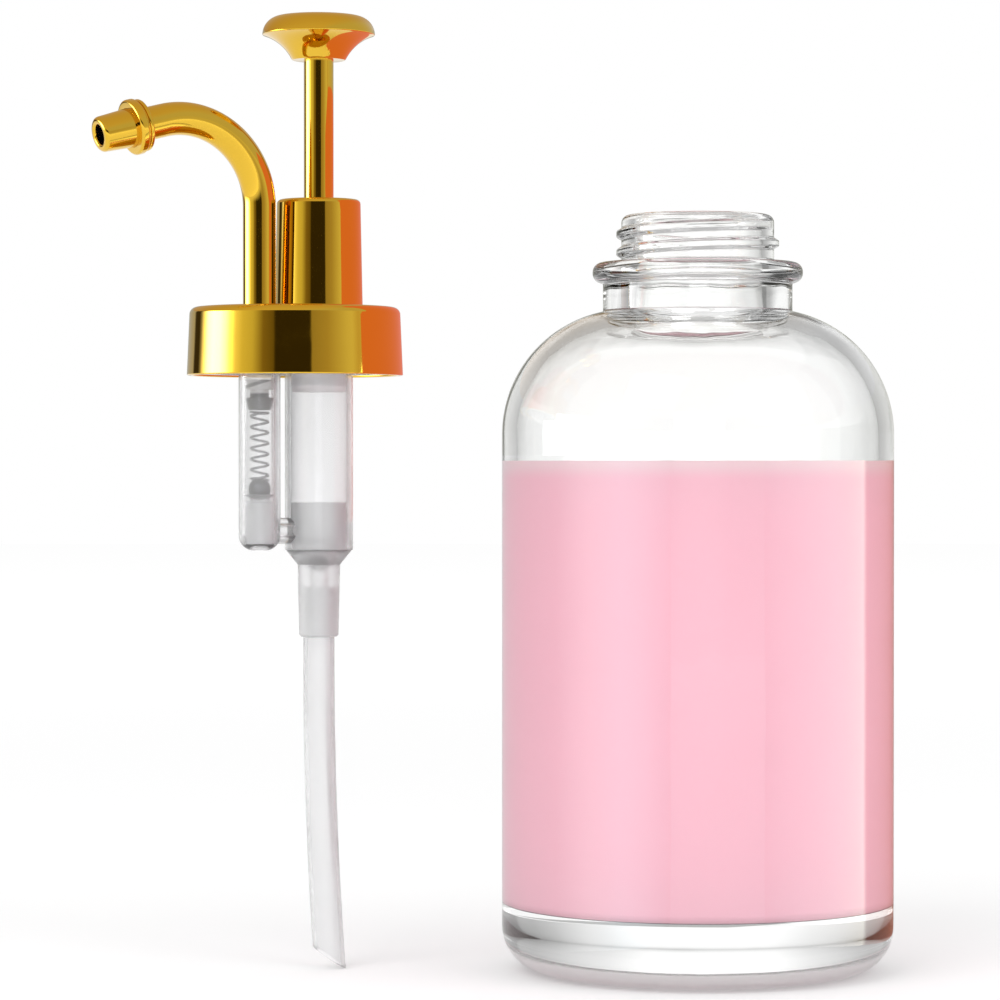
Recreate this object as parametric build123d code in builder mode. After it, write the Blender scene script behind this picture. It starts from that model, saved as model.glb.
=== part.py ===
from build123d import *
from math import atan, ceil, cos, dist, pi, radians, sin, sqrt, tan
import os

os.makedirs("parts", exist_ok=True)

# Syrup dispenser: a glass bottle of syrup, and beside it the pump that screws into its neck.
# Millimetres, +Z up. The origin lies midway between the bottle's side and the nozzle's end, on
# the surface that the bottle stands on. The dip tube's tip is level with that surface, and the
# pump's heights are measured from it.

# Bottle
bottle_r = 39.5
bottle_wall = 3.0
heel_r = 9.0
bearing_ring = 3.0
push_up = 1.6
base_thickness = 13.5
inner_heel_r = 8.0
shoulder_z = 108.2
throat_round = 1.4
neck_band_r = 19.1
neck_band_h = 5.8
bead_r = 21.2
bead_h = 4.1
bead_round = 1.9
finish_r = 15.4
finish_h = 9.6
lip_round = 1.6
lip_inner_round = 0.8
mouth_r = 12.8
syrup_depth = 89.4
syrup_gap = 0.05

# Neck thread, right-handed, and its mate inside the cap
thread_pitch = 3.7
thread_turns = 1.5
thread_depth = 1.0
thread_root_w = 2.2
thread_crest_w = 1.2
thread_root_sink = 0.3
thread_start_drop = 2.3
thread_start_angle = -29.0
thread_root_clearance = 0.2
thread_crest_clearance = 0.2
cap_thread_turns = 1.25
cap_thread_lead = 0.25
cap_thread_root_w = 1.2
cap_thread_crest_w = 0.8

# Where the pump stands, and how its spout is turned
pump_offset = 81.3
pump_yaw = 30.0

# Clearances
running_clearance = 0.05
static_clearance = 0.02
seat_gap = 0.1
rest_gap = 0.3

# Dip tube
tube_r = 3.2
tube_wall = 0.8
tube_drop = 67.3
tube_insertion = 9.9
tube_straight = 5.3
tube_drift = 2.2
tip_slant = 4.3

# Foot valve
socket_r_bottom = 4.0
socket_r_top = 4.3
socket_h = 14.6
socket_chamfer = 0.4
cone_h = 3.0
cone_r = 6.7
plug_h = 9.6
plug_wall = 1.45
valve_floor = 1.5
ball_r = 2.25
ball_bore_r = 2.7
throat_r = 1.4
inlet_ball_travel = 1.2
cage_h = 1.0
cage_hole_r = 0.65
cage_holes = 4
cage_circle_r = 1.95

# Pump housing: the main chamber and the outlet tube beside it
chamber_x = 5.4
chamber_bore_r = 5.7
chamber_wall = 1.2
chamber_h = 45.9
chamber_root_h = 8.0
chamber_root_extra = 0.2
outlet_x = -8.0
outlet_bore_r = 2.9
outlet_wall = 1.3
outlet_bottom_round = 3.0
duct_rise = 3.9
duct_r = 2.6
duct_bore_r = 1.1
flange_r = 16.3
flange_h = 1.5
gasket_h = 1.5
gasket_inner_r = 12.65
gasket_edge_gap = 1.2

# Outlet valve
outlet_seat_h = 9.8
outlet_wire_d = 0.5
outlet_spring_r = 1.75
outlet_spring_turns = 6.25
retainer_rise = 28.2
retainer_bore_r = 1.0
retainer_nose_r = 2.2
retainer_nose_h = 2.5
retainer_neck_r = 1.9
retainer_neck_h = 1.6
retainer_ring_h = 2.0

# Piston and rod
stroke = 20.0
rod_r = 3.0
piston_end_gap = 2.3
piston_h = 4.6
piston_side_gap = 0.3
piston_floor = 1.5
seal_h = 1.7
seal_depth = 0.8
seal_rise = 1.2
rod_neck_depth = 0.5
rod_neck_h = 1.0
rod_neck_rise = 1.0
rod_chamfer = 0.4
guide_plug_h = 1.6
guide_plug_drop = 8.3
collar_h = 1.6
collar_side_gap = 0.3
return_wire_d = 0.8
return_spring_r = 4.75
return_spring_turns = 7

# Head
hub_h = 0.9
deck_h = 0.7
deck_lip = 0.7
deck_chamfer = 0.15
barrel_r_top = 8.45
barrel_r_bottom = 8.9
barrel_bore_r = 7.2
barrel_h = 21.9
barrel_top_h = 1.2
barrel_top_gap = 0.35
barrel_top_round = 0.9
boss_h = 5.0
bush_h = 1.7

# Cap
cap_r_top = 21.2
cap_r_bottom = 21.8
cap_skirt_h = 9.2
cap_plate_h = 1.6
cap_wall = 1.0
cap_round = 1.5
cap_hem_round = 0.2
cap_opening_r = 14.7
liner_rise = 0.4

# Spout and nozzle
spout_r = 3.3
spout_wall = 0.8
spout_rise = 20.0
spout_bend_r = 17.0
spout_bend_angle = 104.0
spout_seal_h = 1.0
spout_seal_bore_r = 2.2
spout_socket_h = 4.0
spout_tail = 8.9
collar_start = 4.6
collar_lip_w = 0.8
collar_lip_r = 5.2
collar_groove_w = 0.4
collar_groove_r = 4.8
collar_ring_w = 1.8
collar_ring_r = 5.55
collar_round = 0.25
nozzle_r = 3.9
nozzle_tip_r = 3.5
nozzle_reach = 14.5
nozzle_bore_r = 2.0
nozzle_round = 0.8

# Knob
knob_end_gap = 8.2
knob_skirt_r = 5.4
knob_flare_h = 5.1
knob_flare_r = 9.68
knob_rim_r = 11.4
knob_crown_round = 3.8
knob_bore_h = 6.3

# The shoulder's arc runs from the bottle's side to the neck's throat
shoulder_centre_r = mouth_r + throat_round
shoulder_r = bottle_r - shoulder_centre_r

# Heights of the bottle
band_z = shoulder_z + sqrt(shoulder_r**2 - (neck_band_r - shoulder_centre_r) ** 2)
bead_z = band_z + neck_band_h
finish_z = bead_z + bead_h
bottle_top = finish_z + finish_h
syrup_z = base_thickness + syrup_depth

# Heights of the pump
tube_top = tube_drop + tube_insertion
cone_z = tube_drop + socket_h
chamber_z = cone_z + cone_h
flange_z = chamber_z + chamber_h
hub_z = flange_z + flange_h
deck_z = hub_z + hub_h
barrel_z = deck_z + deck_h
barrel_top = barrel_z + barrel_h
gasket_z = flange_z - gasket_h
cap_z = gasket_z - cap_skirt_h
valve_z = chamber_z + valve_floor
duct_z = chamber_z + duct_rise
piston_z = chamber_z + plug_h + piston_end_gap + stroke
guide_plug_top = hub_z - guide_plug_drop
bush_z = barrel_top - barrel_top_h - bush_h
collar_z = bush_z - rest_gap - collar_h
knob_z = barrel_top + knob_end_gap + stroke
knob_rim_z = knob_z + knob_flare_h
knob_top = knob_rim_z + knob_crown_round
rod_bottom = piston_z + piston_floor + running_clearance
rod_top = knob_z + knob_bore_h

# A ball on a seat of 45 degrees, whose cone starts at the throat
seat_depth = (ball_r + seat_gap) * sqrt(2) - throat_r
inlet_ball_z = valve_z - ball_r - inlet_ball_travel
inlet_seat_z = inlet_ball_z - seat_depth
outlet_seat_top = valve_z + outlet_seat_h
outlet_ball_z = outlet_seat_top + ball_r / 2 - seat_gap
outlet_seat_z = outlet_ball_z - seat_depth

# Radii that follow their mates
chamber_r = chamber_bore_r + chamber_wall
outlet_r = outlet_bore_r + outlet_wall
plug_r = chamber_bore_r - static_clearance
cage_r = plug_r - plug_wall - static_clearance
hub_r = cap_opening_r - running_clearance
deck_r = cap_opening_r + deck_lip
liner_r = finish_r + thread_depth + thread_root_clearance
boss_r = barrel_bore_r - static_clearance
spout_hole_r = spout_r + static_clearance

# How far the nozzle reaches from the cap's axis along X, with its rounded end
collar_groove_start = collar_start + collar_lip_w
collar_ring_start = collar_groove_start + collar_groove_w
collar_end = collar_ring_start + collar_ring_w
bend_angle = radians(spout_bend_angle)
tail_x = (outlet_x - spout_bend_r * (1 - cos(bend_angle))) * cos(radians(pump_yaw))
tail_lean = sin(bend_angle) * cos(radians(pump_yaw))
nozzle_taper = atan((nozzle_r - nozzle_tip_r) / (nozzle_reach - collar_end))
round_centre_r = nozzle_tip_r + nozzle_round * (tan(nozzle_taper) - 1 / cos(nozzle_taper))
pump_reach = (
    tail_lean * (nozzle_reach - nozzle_round)
    - tail_x
    + round_centre_r * sqrt(1 - tail_lean**2)
    + nozzle_round
)

# Where the two stand: the bottle's side and the nozzle's end lie equally far from the origin
bottle_x = (pump_offset + pump_reach - bottle_r) / 2
pump_x = bottle_x - pump_offset

# Work planes and axes
bottle_plane = Plane(origin=(bottle_x, 0, 0), x_dir=(1, 0, 0), z_dir=(0, -1, 0))
bottle_axis = Axis((bottle_x, 0, 0), (0, 0, 1))
head_x = Vector(cos(radians(pump_yaw)), sin(radians(pump_yaw)), 0)
head_y = Vector(-sin(radians(pump_yaw)), cos(radians(pump_yaw)), 0)
up = Vector(0, 0, 1)


def on_head(along, z):
    """A point of the head's long middle plane."""
    return Vector(pump_x, 0, z) + head_x * along


def level(along, z):
    """A horizontal plane whose origin is on_head(along, z)."""
    return Plane(origin=on_head(along, z), x_dir=head_x, z_dir=up)


def upright(along):
    """The head's middle plane: x is the distance from on_head(along), y is the height."""
    return Plane(origin=on_head(along, 0), x_dir=head_x, z_dir=-head_y)


def upright_axis(along):
    return Axis(on_head(along, 0), up)


def ring(outer_r, inner_r):
    Circle(outer_r)
    Circle(inner_r, mode=Mode.SUBTRACT)


def helical_ridge(root_r, crest_r, root_w, crest_w, sink, turns):
    """A thread ridge round Z that starts on +X at z = 0, sunk a little behind its root."""
    outward = 1 if crest_r > root_r else -1
    with BuildPart() as ridge:
        with BuildLine() as path:
            Helix(thread_pitch, thread_pitch * turns, root_r)
        with BuildSketch(Plane(origin=path.line @ 0, x_dir=(1, 0, 0), z_dir=path.line % 0)):
            with BuildLine():
                Polyline(
                    (-outward * sink, -root_w / 2),
                    (crest_r - root_r, -crest_w / 2),
                    (crest_r - root_r, crest_w / 2),
                    (-outward * sink, root_w / 2),
                    close=True,
                )
            make_face()
        sweep(path=path.line, is_frenet=True)
    return ridge.part


def coil_point(centre, radius, pitch, turn):
    angle = 2 * pi * turn
    return centre + Vector(radius * cos(angle), radius * sin(angle), pitch * turn)


def coil_tangent(radius, pitch, turn):
    angle = 2 * pi * turn
    return Vector(-radius * sin(angle), radius * cos(angle), pitch / (2 * pi)).normalized()


def coil_path(centre, radius, pitch, turns, wire_d):
    """A wound wire as biarcs of a quarter turn, with a straight end of one wire diameter."""
    quarters = ceil(4 * turns)
    step = turns / quarters
    start = coil_point(centre, radius, pitch, 0)
    start_tangent = coil_tangent(radius, pitch, 0)
    Line(start - start_tangent * wire_d, start)
    for quarter in range(quarters):
        end = coil_point(centre, radius, pitch, step * (quarter + 1))
        end_tangent = coil_tangent(radius, pitch, step * (quarter + 1))
        chord = end - start
        reach = chord.dot(start_tangent + end_tangent)
        spread = 2 * (1 - start_tangent.dot(end_tangent))
        handle = (sqrt(reach**2 + spread * chord.dot(chord)) - reach) / spread
        joint = (start + start_tangent * handle + end - end_tangent * handle) / 2
        joint_tangent = (end - end_tangent * handle - start - start_tangent * handle).normalized()
        TangentArc(start, joint, tangent=start_tangent)
        TangentArc(joint, end, tangent=joint_tangent)
        start = end
        start_tangent = end_tangent
    Line(start, start + start_tangent * wire_d)


def print_coil_gap(name, line, turns, wire_d):
    """Measure how near the wire comes to its own neighbouring turns."""
    samples_per_turn = 40
    samples = samples_per_turn * ceil(turns)
    points = [tuple(line @ (i / samples)) for i in range(samples + 1)]
    half_turn = samples_per_turn // 2
    nearest = min(
        dist(points[i], points[j])
        for i in range(samples + 1)
        for j in range(i + half_turn, samples + 1)
    )
    print(f"{name}: least gap between turns {nearest - wire_d:.2f} mm")


# Glass bottle: one revolved wall with the thread ridge wound on its neck
neck_thread_z = bottle_top - thread_start_drop - thread_pitch * thread_turns
neck_thread = (
    Pos(bottle_x, 0, neck_thread_z)
    * Rot(0, 0, thread_start_angle - 360 * thread_turns)
    * helical_ridge(
        finish_r,
        finish_r + thread_depth,
        thread_root_w,
        thread_crest_w,
        thread_root_sink,
        thread_turns,
    )
)
inner_r = bottle_r - bottle_wall
inner_shoulder_top = shoulder_z + shoulder_r - bottle_wall
bearing_outer_r = bottle_r - heel_r
bearing_inner_r = bearing_outer_r - bearing_ring
with BuildPart() as glass_bottle:
    with BuildSketch(bottle_plane):
        with BuildLine():
            TangentArc((0, push_up), (bearing_inner_r, 0), tangent=(1, 0))
            Line((bearing_inner_r, 0), (bearing_outer_r, 0))
            TangentArc((bearing_outer_r, 0), (bottle_r, heel_r), tangent=(1, 0))
            Line((bottle_r, heel_r), (bottle_r, shoulder_z))
            TangentArc((bottle_r, shoulder_z), (neck_band_r, band_z), tangent=(0, 1))
            Line((neck_band_r, band_z), (neck_band_r, bead_z))
            Line((neck_band_r, bead_z), (bead_r - bead_round, bead_z))
            TangentArc(
                (bead_r - bead_round, bead_z), (bead_r, bead_z + bead_round), tangent=(1, 0)
            )
            Line((bead_r, bead_z + bead_round), (bead_r, finish_z - bead_round))
            TangentArc(
                (bead_r, finish_z - bead_round), (bead_r - bead_round, finish_z), tangent=(0, 1)
            )
            Line((bead_r - bead_round, finish_z), (finish_r, finish_z))
            Line((finish_r, finish_z), (finish_r, bottle_top - lip_round))
            TangentArc(
                (finish_r, bottle_top - lip_round),
                (finish_r - lip_round, bottle_top),
                tangent=(0, 1),
            )
            Line((finish_r - lip_round, bottle_top), (mouth_r + lip_inner_round, bottle_top))
            TangentArc(
                (mouth_r + lip_inner_round, bottle_top),
                (mouth_r, bottle_top - lip_inner_round),
                tangent=(-1, 0),
            )
            Line(
                (mouth_r, bottle_top - lip_inner_round),
                (mouth_r, inner_shoulder_top + throat_round),
            )
            TangentArc(
                (mouth_r, inner_shoulder_top + throat_round),
                (shoulder_centre_r, inner_shoulder_top),
                tangent=(0, -1),
            )
            TangentArc((shoulder_centre_r, inner_shoulder_top), (inner_r, shoulder_z), tangent=(1, 0))
            Line((inner_r, shoulder_z), (inner_r, base_thickness + inner_heel_r))
            TangentArc(
                (inner_r, base_thickness + inner_heel_r),
                (inner_r - inner_heel_r, base_thickness),
                tangent=(0, -1),
            )
            Line((inner_r - inner_heel_r, base_thickness), (0, base_thickness))
            Line((0, base_thickness), (0, push_up))
        make_face()
    revolve(axis=bottle_axis)
    add(neck_thread)
glass_bottle.part.label = "glass_bottle"
export_step(glass_bottle.part, "parts/glass_bottle.step")

# Syrup, which fills the bottle up to its level
syrup_r = inner_r - syrup_gap
syrup_heel_r = inner_heel_r - syrup_gap
syrup_floor = base_thickness + syrup_gap
with BuildPart() as syrup_fill:
    with BuildSketch(bottle_plane):
        with BuildLine():
            Line((0, syrup_floor), (syrup_r - syrup_heel_r, syrup_floor))
            TangentArc(
                (syrup_r - syrup_heel_r, syrup_floor),
                (syrup_r, syrup_floor + syrup_heel_r),
                tangent=(1, 0),
            )
            Polyline(
                (syrup_r, syrup_floor + syrup_heel_r),
                (syrup_r, syrup_z),
                (0, syrup_z),
                (0, syrup_floor),
            )
        make_face()
    revolve(axis=bottle_axis)
syrup_fill.part.label = "syrup_fill"
export_step(syrup_fill.part, "parts/syrup_fill.step")

# Pump housing: neck flange, chamber, outlet tube and the duct between their feet
with BuildPart() as pump_housing:
    with BuildSketch(level(0, flange_z)):
        Circle(flange_r)
    extrude(amount=flange_h)
    with BuildSketch(level(chamber_x, chamber_z)):
        Circle(chamber_r)
    extrude(amount=chamber_h)
    with BuildSketch(level(chamber_x, flange_z)):
        Circle(chamber_r + chamber_root_extra)
    extrude(amount=-chamber_root_h)
    with BuildSketch(upright(outlet_x)):
        with BuildLine():
            Line((0, chamber_z), (outlet_r - outlet_bottom_round, chamber_z))
            TangentArc(
                (outlet_r - outlet_bottom_round, chamber_z),
                (outlet_r, chamber_z + outlet_bottom_round),
                tangent=(1, 0),
            )
            Polyline(
                (outlet_r, chamber_z + outlet_bottom_round),
                (outlet_r, flange_z),
                (0, flange_z),
                (0, chamber_z),
            )
        make_face()
    revolve(axis=upright_axis(outlet_x))
    with BuildSketch(Plane(origin=on_head(outlet_x, duct_z), z_dir=head_x)):
        Circle(duct_r)
    extrude(amount=chamber_x - outlet_x)
    with BuildSketch(level(chamber_x, chamber_z)):
        Circle(chamber_bore_r)
    extrude(amount=chamber_h + flange_h, mode=Mode.SUBTRACT)
    with BuildSketch(level(outlet_x, valve_z)):
        Circle(outlet_bore_r)
    extrude(amount=hub_z - valve_z, mode=Mode.SUBTRACT)
    with BuildSketch(level(outlet_x, hub_z)):
        Circle(spout_hole_r)
    extrude(amount=-spout_socket_h, mode=Mode.SUBTRACT)
    with BuildSketch(Plane(origin=on_head(outlet_x, duct_z), z_dir=head_x)):
        Circle(duct_bore_r)
    extrude(amount=chamber_x - outlet_x, mode=Mode.SUBTRACT)
pump_housing.part.label = "pump_housing"
export_step(pump_housing.part, "parts/pump_housing.step")

# Foot valve body: dip tube socket below, ball seat in the cone, plug inside the chamber
with BuildPart() as foot_valve_body:
    with BuildSketch(upright(chamber_x)):
        with BuildLine():
            Polyline(
                (socket_r_bottom - socket_chamfer, tube_drop),
                (socket_r_bottom, tube_drop + socket_chamfer),
                (socket_r_top, cone_z),
                (cone_r, chamber_z),
                (plug_r, chamber_z),
                (plug_r, chamber_z + plug_h),
                (plug_r - plug_wall, chamber_z + plug_h),
                (plug_r - plug_wall, valve_z),
                (ball_bore_r, valve_z),
                (ball_bore_r, inlet_seat_z + ball_bore_r - throat_r),
                (throat_r, inlet_seat_z),
                (throat_r, tube_top),
                (tube_r + static_clearance, tube_top),
                (tube_r + static_clearance, tube_drop),
                close=True,
            )
        make_face()
    revolve(axis=upright_axis(chamber_x))
    with BuildSketch(Plane(origin=on_head(chamber_x, duct_z), z_dir=-head_x)):
        Circle(duct_bore_r)
    extrude(amount=chamber_r, mode=Mode.SUBTRACT)
foot_valve_body.part.label = "foot_valve_body"
export_step(foot_valve_body.part, "parts/foot_valve_body.step")

# Ball cage: a pierced disc that stops the inlet ball from rising too far
with BuildPart() as ball_cage:
    with BuildSketch(level(chamber_x, valve_z)):
        Circle(cage_r)
        with PolarLocations(cage_circle_r, cage_holes):
            Circle(cage_hole_r, mode=Mode.SUBTRACT)
    extrude(amount=cage_h)
ball_cage.part.label = "ball_cage"
export_step(ball_cage.part, "parts/ball_cage.step")

with BuildPart() as inlet_ball:
    with Locations(on_head(chamber_x, inlet_ball_z)):
        Sphere(ball_r)
inlet_ball.part.label = "inlet_ball"
export_step(inlet_ball.part, "parts/inlet_ball.step")

# Dip tube: straight in its socket, then a gentle bend, with its tip cut at a slant
tube_bend_z = tube_drop - tube_straight
tip_lean = 2 * atan(tube_drift / tube_bend_z)
tip_x = tube_drift + tube_r / cos(tip_lean)
tube_plane = Plane(origin=on_head(chamber_x, 0), x_dir=(1, 0, 0), z_dir=(0, -1, 0))
with BuildPart() as dip_tube:
    with BuildLine(tube_plane) as tube_path:
        Line((0, tube_top), (0, tube_bend_z))
        TangentArc((0, tube_bend_z), (tube_drift, 0), tangent=-up)
        Line((tube_drift, 0), (tube_drift + tube_r * sin(tip_lean), -tube_r * cos(tip_lean)))
    with BuildSketch(level(chamber_x, tube_top)):
        ring(tube_r, tube_r - tube_wall)
    sweep(path=tube_path.line)
    cut_slope = tip_slant / (2 * tube_r)
    cut_origin = tube_plane.from_local_coords((tip_x, 0, 0))
    split(bisect_by=Plane(origin=cut_origin, z_dir=(cut_slope, 0, 1)), keep=Keep.TOP)
dip_tube.part.label = "dip_tube"
export_step(dip_tube.part, "parts/dip_tube.step")

# Outlet valve: seat, ball, spring and the retainer that the spring pushes against
outlet_insert_r = outlet_bore_r - static_clearance
with BuildPart() as outlet_valve_seat:
    with BuildSketch(upright(outlet_x)):
        with BuildLine():
            Polyline(
                (throat_r, valve_z),
                (outlet_insert_r, valve_z),
                (outlet_insert_r, outlet_seat_top),
                (throat_r + outlet_seat_top - outlet_seat_z, outlet_seat_top),
                (throat_r, outlet_seat_z),
                close=True,
            )
        make_face()
    revolve(axis=upright_axis(outlet_x))
    with BuildSketch(Plane(origin=on_head(outlet_x, duct_z), z_dir=head_x)):
        Circle(duct_bore_r)
    extrude(amount=outlet_r, mode=Mode.SUBTRACT)
outlet_valve_seat.part.label = "outlet_valve_seat"
export_step(outlet_valve_seat.part, "parts/outlet_valve_seat.step")

with BuildPart() as outlet_ball:
    with Locations(on_head(outlet_x, outlet_ball_z)):
        Sphere(ball_r)
outlet_ball.part.label = "outlet_ball"
export_step(outlet_ball.part, "parts/outlet_ball.step")

retainer_z = chamber_z + retainer_rise
with BuildPart() as spring_retainer:
    with BuildSketch(upright(outlet_x)):
        with BuildLine():
            Polyline(
                (retainer_bore_r, retainer_z),
                (retainer_nose_r, retainer_z),
                (outlet_insert_r, retainer_z + retainer_nose_h),
                (retainer_neck_r, retainer_z + retainer_nose_h),
                (retainer_neck_r, retainer_z + retainer_nose_h + retainer_neck_h),
                (outlet_insert_r, retainer_z + retainer_nose_h + retainer_neck_h),
                (
                    outlet_insert_r,
                    retainer_z + retainer_nose_h + retainer_neck_h + retainer_ring_h,
                ),
                (
                    retainer_bore_r,
                    retainer_z + retainer_nose_h + retainer_neck_h + retainer_ring_h,
                ),
                close=True,
            )
        make_face()
    revolve(axis=upright_axis(outlet_x))
spring_retainer.part.label = "spring_retainer"
export_step(spring_retainer.part, "parts/spring_retainer.step")

# The spring's first turn rests round the ball's crown, a seat gap away from it
spring_touch = ball_r + seat_gap + outlet_wire_d / 2
outlet_spring_z = outlet_ball_z + sqrt(spring_touch**2 - outlet_spring_r**2)
outlet_spring_end = retainer_z - seat_gap - outlet_wire_d
outlet_pitch = (outlet_spring_end - outlet_spring_z) / outlet_spring_turns
with BuildPart() as outlet_spring:
    with BuildLine() as outlet_wire:
        coil_path(
            on_head(outlet_x, outlet_spring_z),
            outlet_spring_r,
            outlet_pitch,
            outlet_spring_turns,
            outlet_wire_d,
        )
    with BuildSketch(Plane(origin=outlet_wire.line @ 0, z_dir=outlet_wire.line % 0)):
        Circle(outlet_wire_d / 2)
    sweep(path=outlet_wire.line)
outlet_spring.part.label = "outlet_spring"
export_step(outlet_spring.part, "parts/outlet_spring.step")
print_coil_gap("outlet_spring", outlet_wire.line, outlet_spring_turns, outlet_wire_d)

# Neck gasket, between the flange and the bottle's lip
with BuildPart() as neck_gasket:
    with BuildSketch(level(0, gasket_z)):
        ring(liner_r - gasket_edge_gap, gasket_inner_r)
    extrude(amount=gasket_h)
neck_gasket.part.label = "neck_gasket"
export_step(neck_gasket.part, "parts/neck_gasket.step")

# Rod guide plug, pressed into the chamber: it guides the rod and carries the return spring
with BuildPart() as rod_guide_plug:
    with BuildSketch(level(chamber_x, guide_plug_top)):
        ring(plug_r, rod_r + running_clearance)
    extrude(amount=-guide_plug_h)
rod_guide_plug.part.label = "rod_guide_plug"
export_step(rod_guide_plug.part, "parts/rod_guide_plug.step")

# Head core: the hub that the cap turns on, with the boss that carries the barrel
with BuildPart() as head_core:
    with BuildSketch(level(0, hub_z)):
        Circle(hub_r)
    extrude(amount=hub_h)
    with BuildSketch(level(chamber_x, deck_z)):
        Circle(boss_r)
    extrude(amount=deck_h + boss_h)
    with BuildSketch(level(chamber_x, hub_z)):
        Circle(chamber_bore_r)
    extrude(amount=hub_h + deck_h + boss_h, mode=Mode.SUBTRACT)
    with BuildSketch(level(outlet_x, hub_z)):
        Circle(spout_hole_r)
    extrude(amount=hub_h, mode=Mode.SUBTRACT)
head_core.part.label = "head_core"
export_step(head_core.part, "parts/head_core.step")

# Deck plate: the metal disc in the middle of the cap's top
with BuildPart() as deck_plate:
    with BuildSketch(level(0, deck_z)):
        Circle(deck_r)
        with Locations((chamber_x, 0)):
            Circle(barrel_bore_r, mode=Mode.SUBTRACT)
        with Locations((outlet_x, 0)):
            Circle(spout_hole_r, mode=Mode.SUBTRACT)
    extrude(amount=deck_h)
    top_edges = deck_plate.edges().filter_by(GeomType.CIRCLE).group_by(Axis.Z)[-1]
    chamfer(top_edges.sort_by(SortBy.RADIUS)[-1], deck_chamfer)
deck_plate.part.label = "deck_plate"
export_step(deck_plate.part, "parts/deck_plate.step")

# Guide barrel, which hides the return spring
with BuildPart() as guide_barrel:
    with BuildSketch(upright(chamber_x)):
        with BuildLine():
            Line((barrel_bore_r, barrel_z), (barrel_r_bottom, barrel_z))
            Line((barrel_r_bottom, barrel_z), (barrel_r_top, barrel_top - barrel_top_round))
            RadiusArc(
                (barrel_r_top, barrel_top - barrel_top_round),
                (barrel_r_top - barrel_top_round, barrel_top),
                -barrel_top_round,
            )
            Polyline(
                (barrel_r_top - barrel_top_round, barrel_top),
                (rod_r + barrel_top_gap, barrel_top),
                (rod_r + barrel_top_gap, barrel_top - barrel_top_h),
                (barrel_bore_r, barrel_top - barrel_top_h),
                (barrel_bore_r, barrel_z),
            )
        make_face()
    revolve(axis=upright_axis(chamber_x))
guide_barrel.part.label = "guide_barrel"
export_step(guide_barrel.part, "parts/guide_barrel.step")

with BuildPart() as barrel_bush:
    with BuildSketch(level(chamber_x, bush_z)):
        ring(barrel_bore_r - static_clearance, rod_r + running_clearance)
    extrude(amount=bush_h)
barrel_bush.part.label = "barrel_bush"
export_step(barrel_bush.part, "parts/barrel_bush.step")

# Plunger rod, with a neck near its foot that the piston snaps round
rod_neck_z = rod_bottom + rod_neck_rise
rod_neck_r = rod_r - rod_neck_depth
with BuildPart() as plunger_rod:
    with BuildSketch(upright(chamber_x)):
        with BuildLine():
            Polyline(
                (0, rod_bottom),
                (rod_r, rod_bottom),
                (rod_r, rod_neck_z),
                (rod_neck_r, rod_neck_z),
                (rod_neck_r, rod_neck_z + rod_neck_h),
                (rod_r, rod_neck_z + rod_neck_h),
                (rod_r, rod_top - rod_chamfer),
                (rod_r - rod_chamfer, rod_top),
                (0, rod_top),
                close=True,
            )
        make_face()
    revolve(axis=upright_axis(chamber_x))
plunger_rod.part.label = "plunger_rod"
export_step(plunger_rod.part, "parts/plunger_rod.step")

# Piston, with the snap lip inside and the seal's groove outside
piston_r = chamber_bore_r - piston_side_gap
piston_socket_r = rod_r + running_clearance
piston_lip_r = rod_neck_r + running_clearance
lip_z = rod_neck_z + running_clearance
lip_h = rod_neck_h - 2 * running_clearance
seal_r = chamber_bore_r - running_clearance
groove_r = piston_r - seal_depth
with BuildPart() as piston:
    with BuildSketch(upright(chamber_x)):
        with BuildLine():
            Polyline(
                (0, piston_z),
                (piston_r, piston_z),
                (piston_r, piston_z + piston_h),
                (piston_socket_r, piston_z + piston_h),
                (piston_socket_r, lip_z + lip_h),
                (piston_lip_r, lip_z + lip_h),
                (piston_lip_r, lip_z),
                (piston_socket_r, lip_z),
                (piston_socket_r, piston_z + piston_floor),
                (0, piston_z + piston_floor),
                close=True,
            )
        make_face()
    revolve(axis=upright_axis(chamber_x))
    with BuildSketch(level(chamber_x, piston_z + seal_rise)):
        ring(piston_r + piston_side_gap, groove_r)
    extrude(amount=seal_h, mode=Mode.SUBTRACT)
piston.part.label = "piston"
export_step(piston.part, "parts/piston.step")

with BuildPart() as piston_seal:
    with BuildSketch(level(chamber_x, piston_z + seal_rise + static_clearance)):
        ring(seal_r, groove_r + static_clearance)
    extrude(amount=seal_h - 2 * static_clearance)
piston_seal.part.label = "piston_seal"
export_step(piston_seal.part, "parts/piston_seal.step")

# Rod collar, which the return spring lifts against the bush
with BuildPart() as rod_collar:
    with BuildSketch(level(chamber_x, collar_z)):
        ring(chamber_bore_r - collar_side_gap, rod_r + static_clearance)
    extrude(amount=collar_h)
rod_collar.part.label = "rod_collar"
export_step(rod_collar.part, "parts/rod_collar.step")

# Return spring, wound round the rod from the guide plug up to the collar
return_spring_z = guide_plug_top + seat_gap + return_wire_d / 2 + seat_gap
return_spring_end = collar_z - seat_gap - return_wire_d / 2 - seat_gap
return_pitch = (return_spring_end - return_spring_z) / return_spring_turns
with BuildPart() as return_spring:
    with BuildLine() as return_wire:
        coil_path(
            on_head(chamber_x, return_spring_z),
            return_spring_r,
            return_pitch,
            return_spring_turns,
            return_wire_d,
        )
    with BuildSketch(Plane(origin=return_wire.line @ 0, z_dir=return_wire.line % 0)):
        Circle(return_wire_d / 2)
    sweep(path=return_wire.line)
return_spring.part.label = "return_spring"
export_step(return_spring.part, "parts/return_spring.step")
print_coil_gap("return_spring", return_wire.line, return_spring_turns, return_wire_d)

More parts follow.
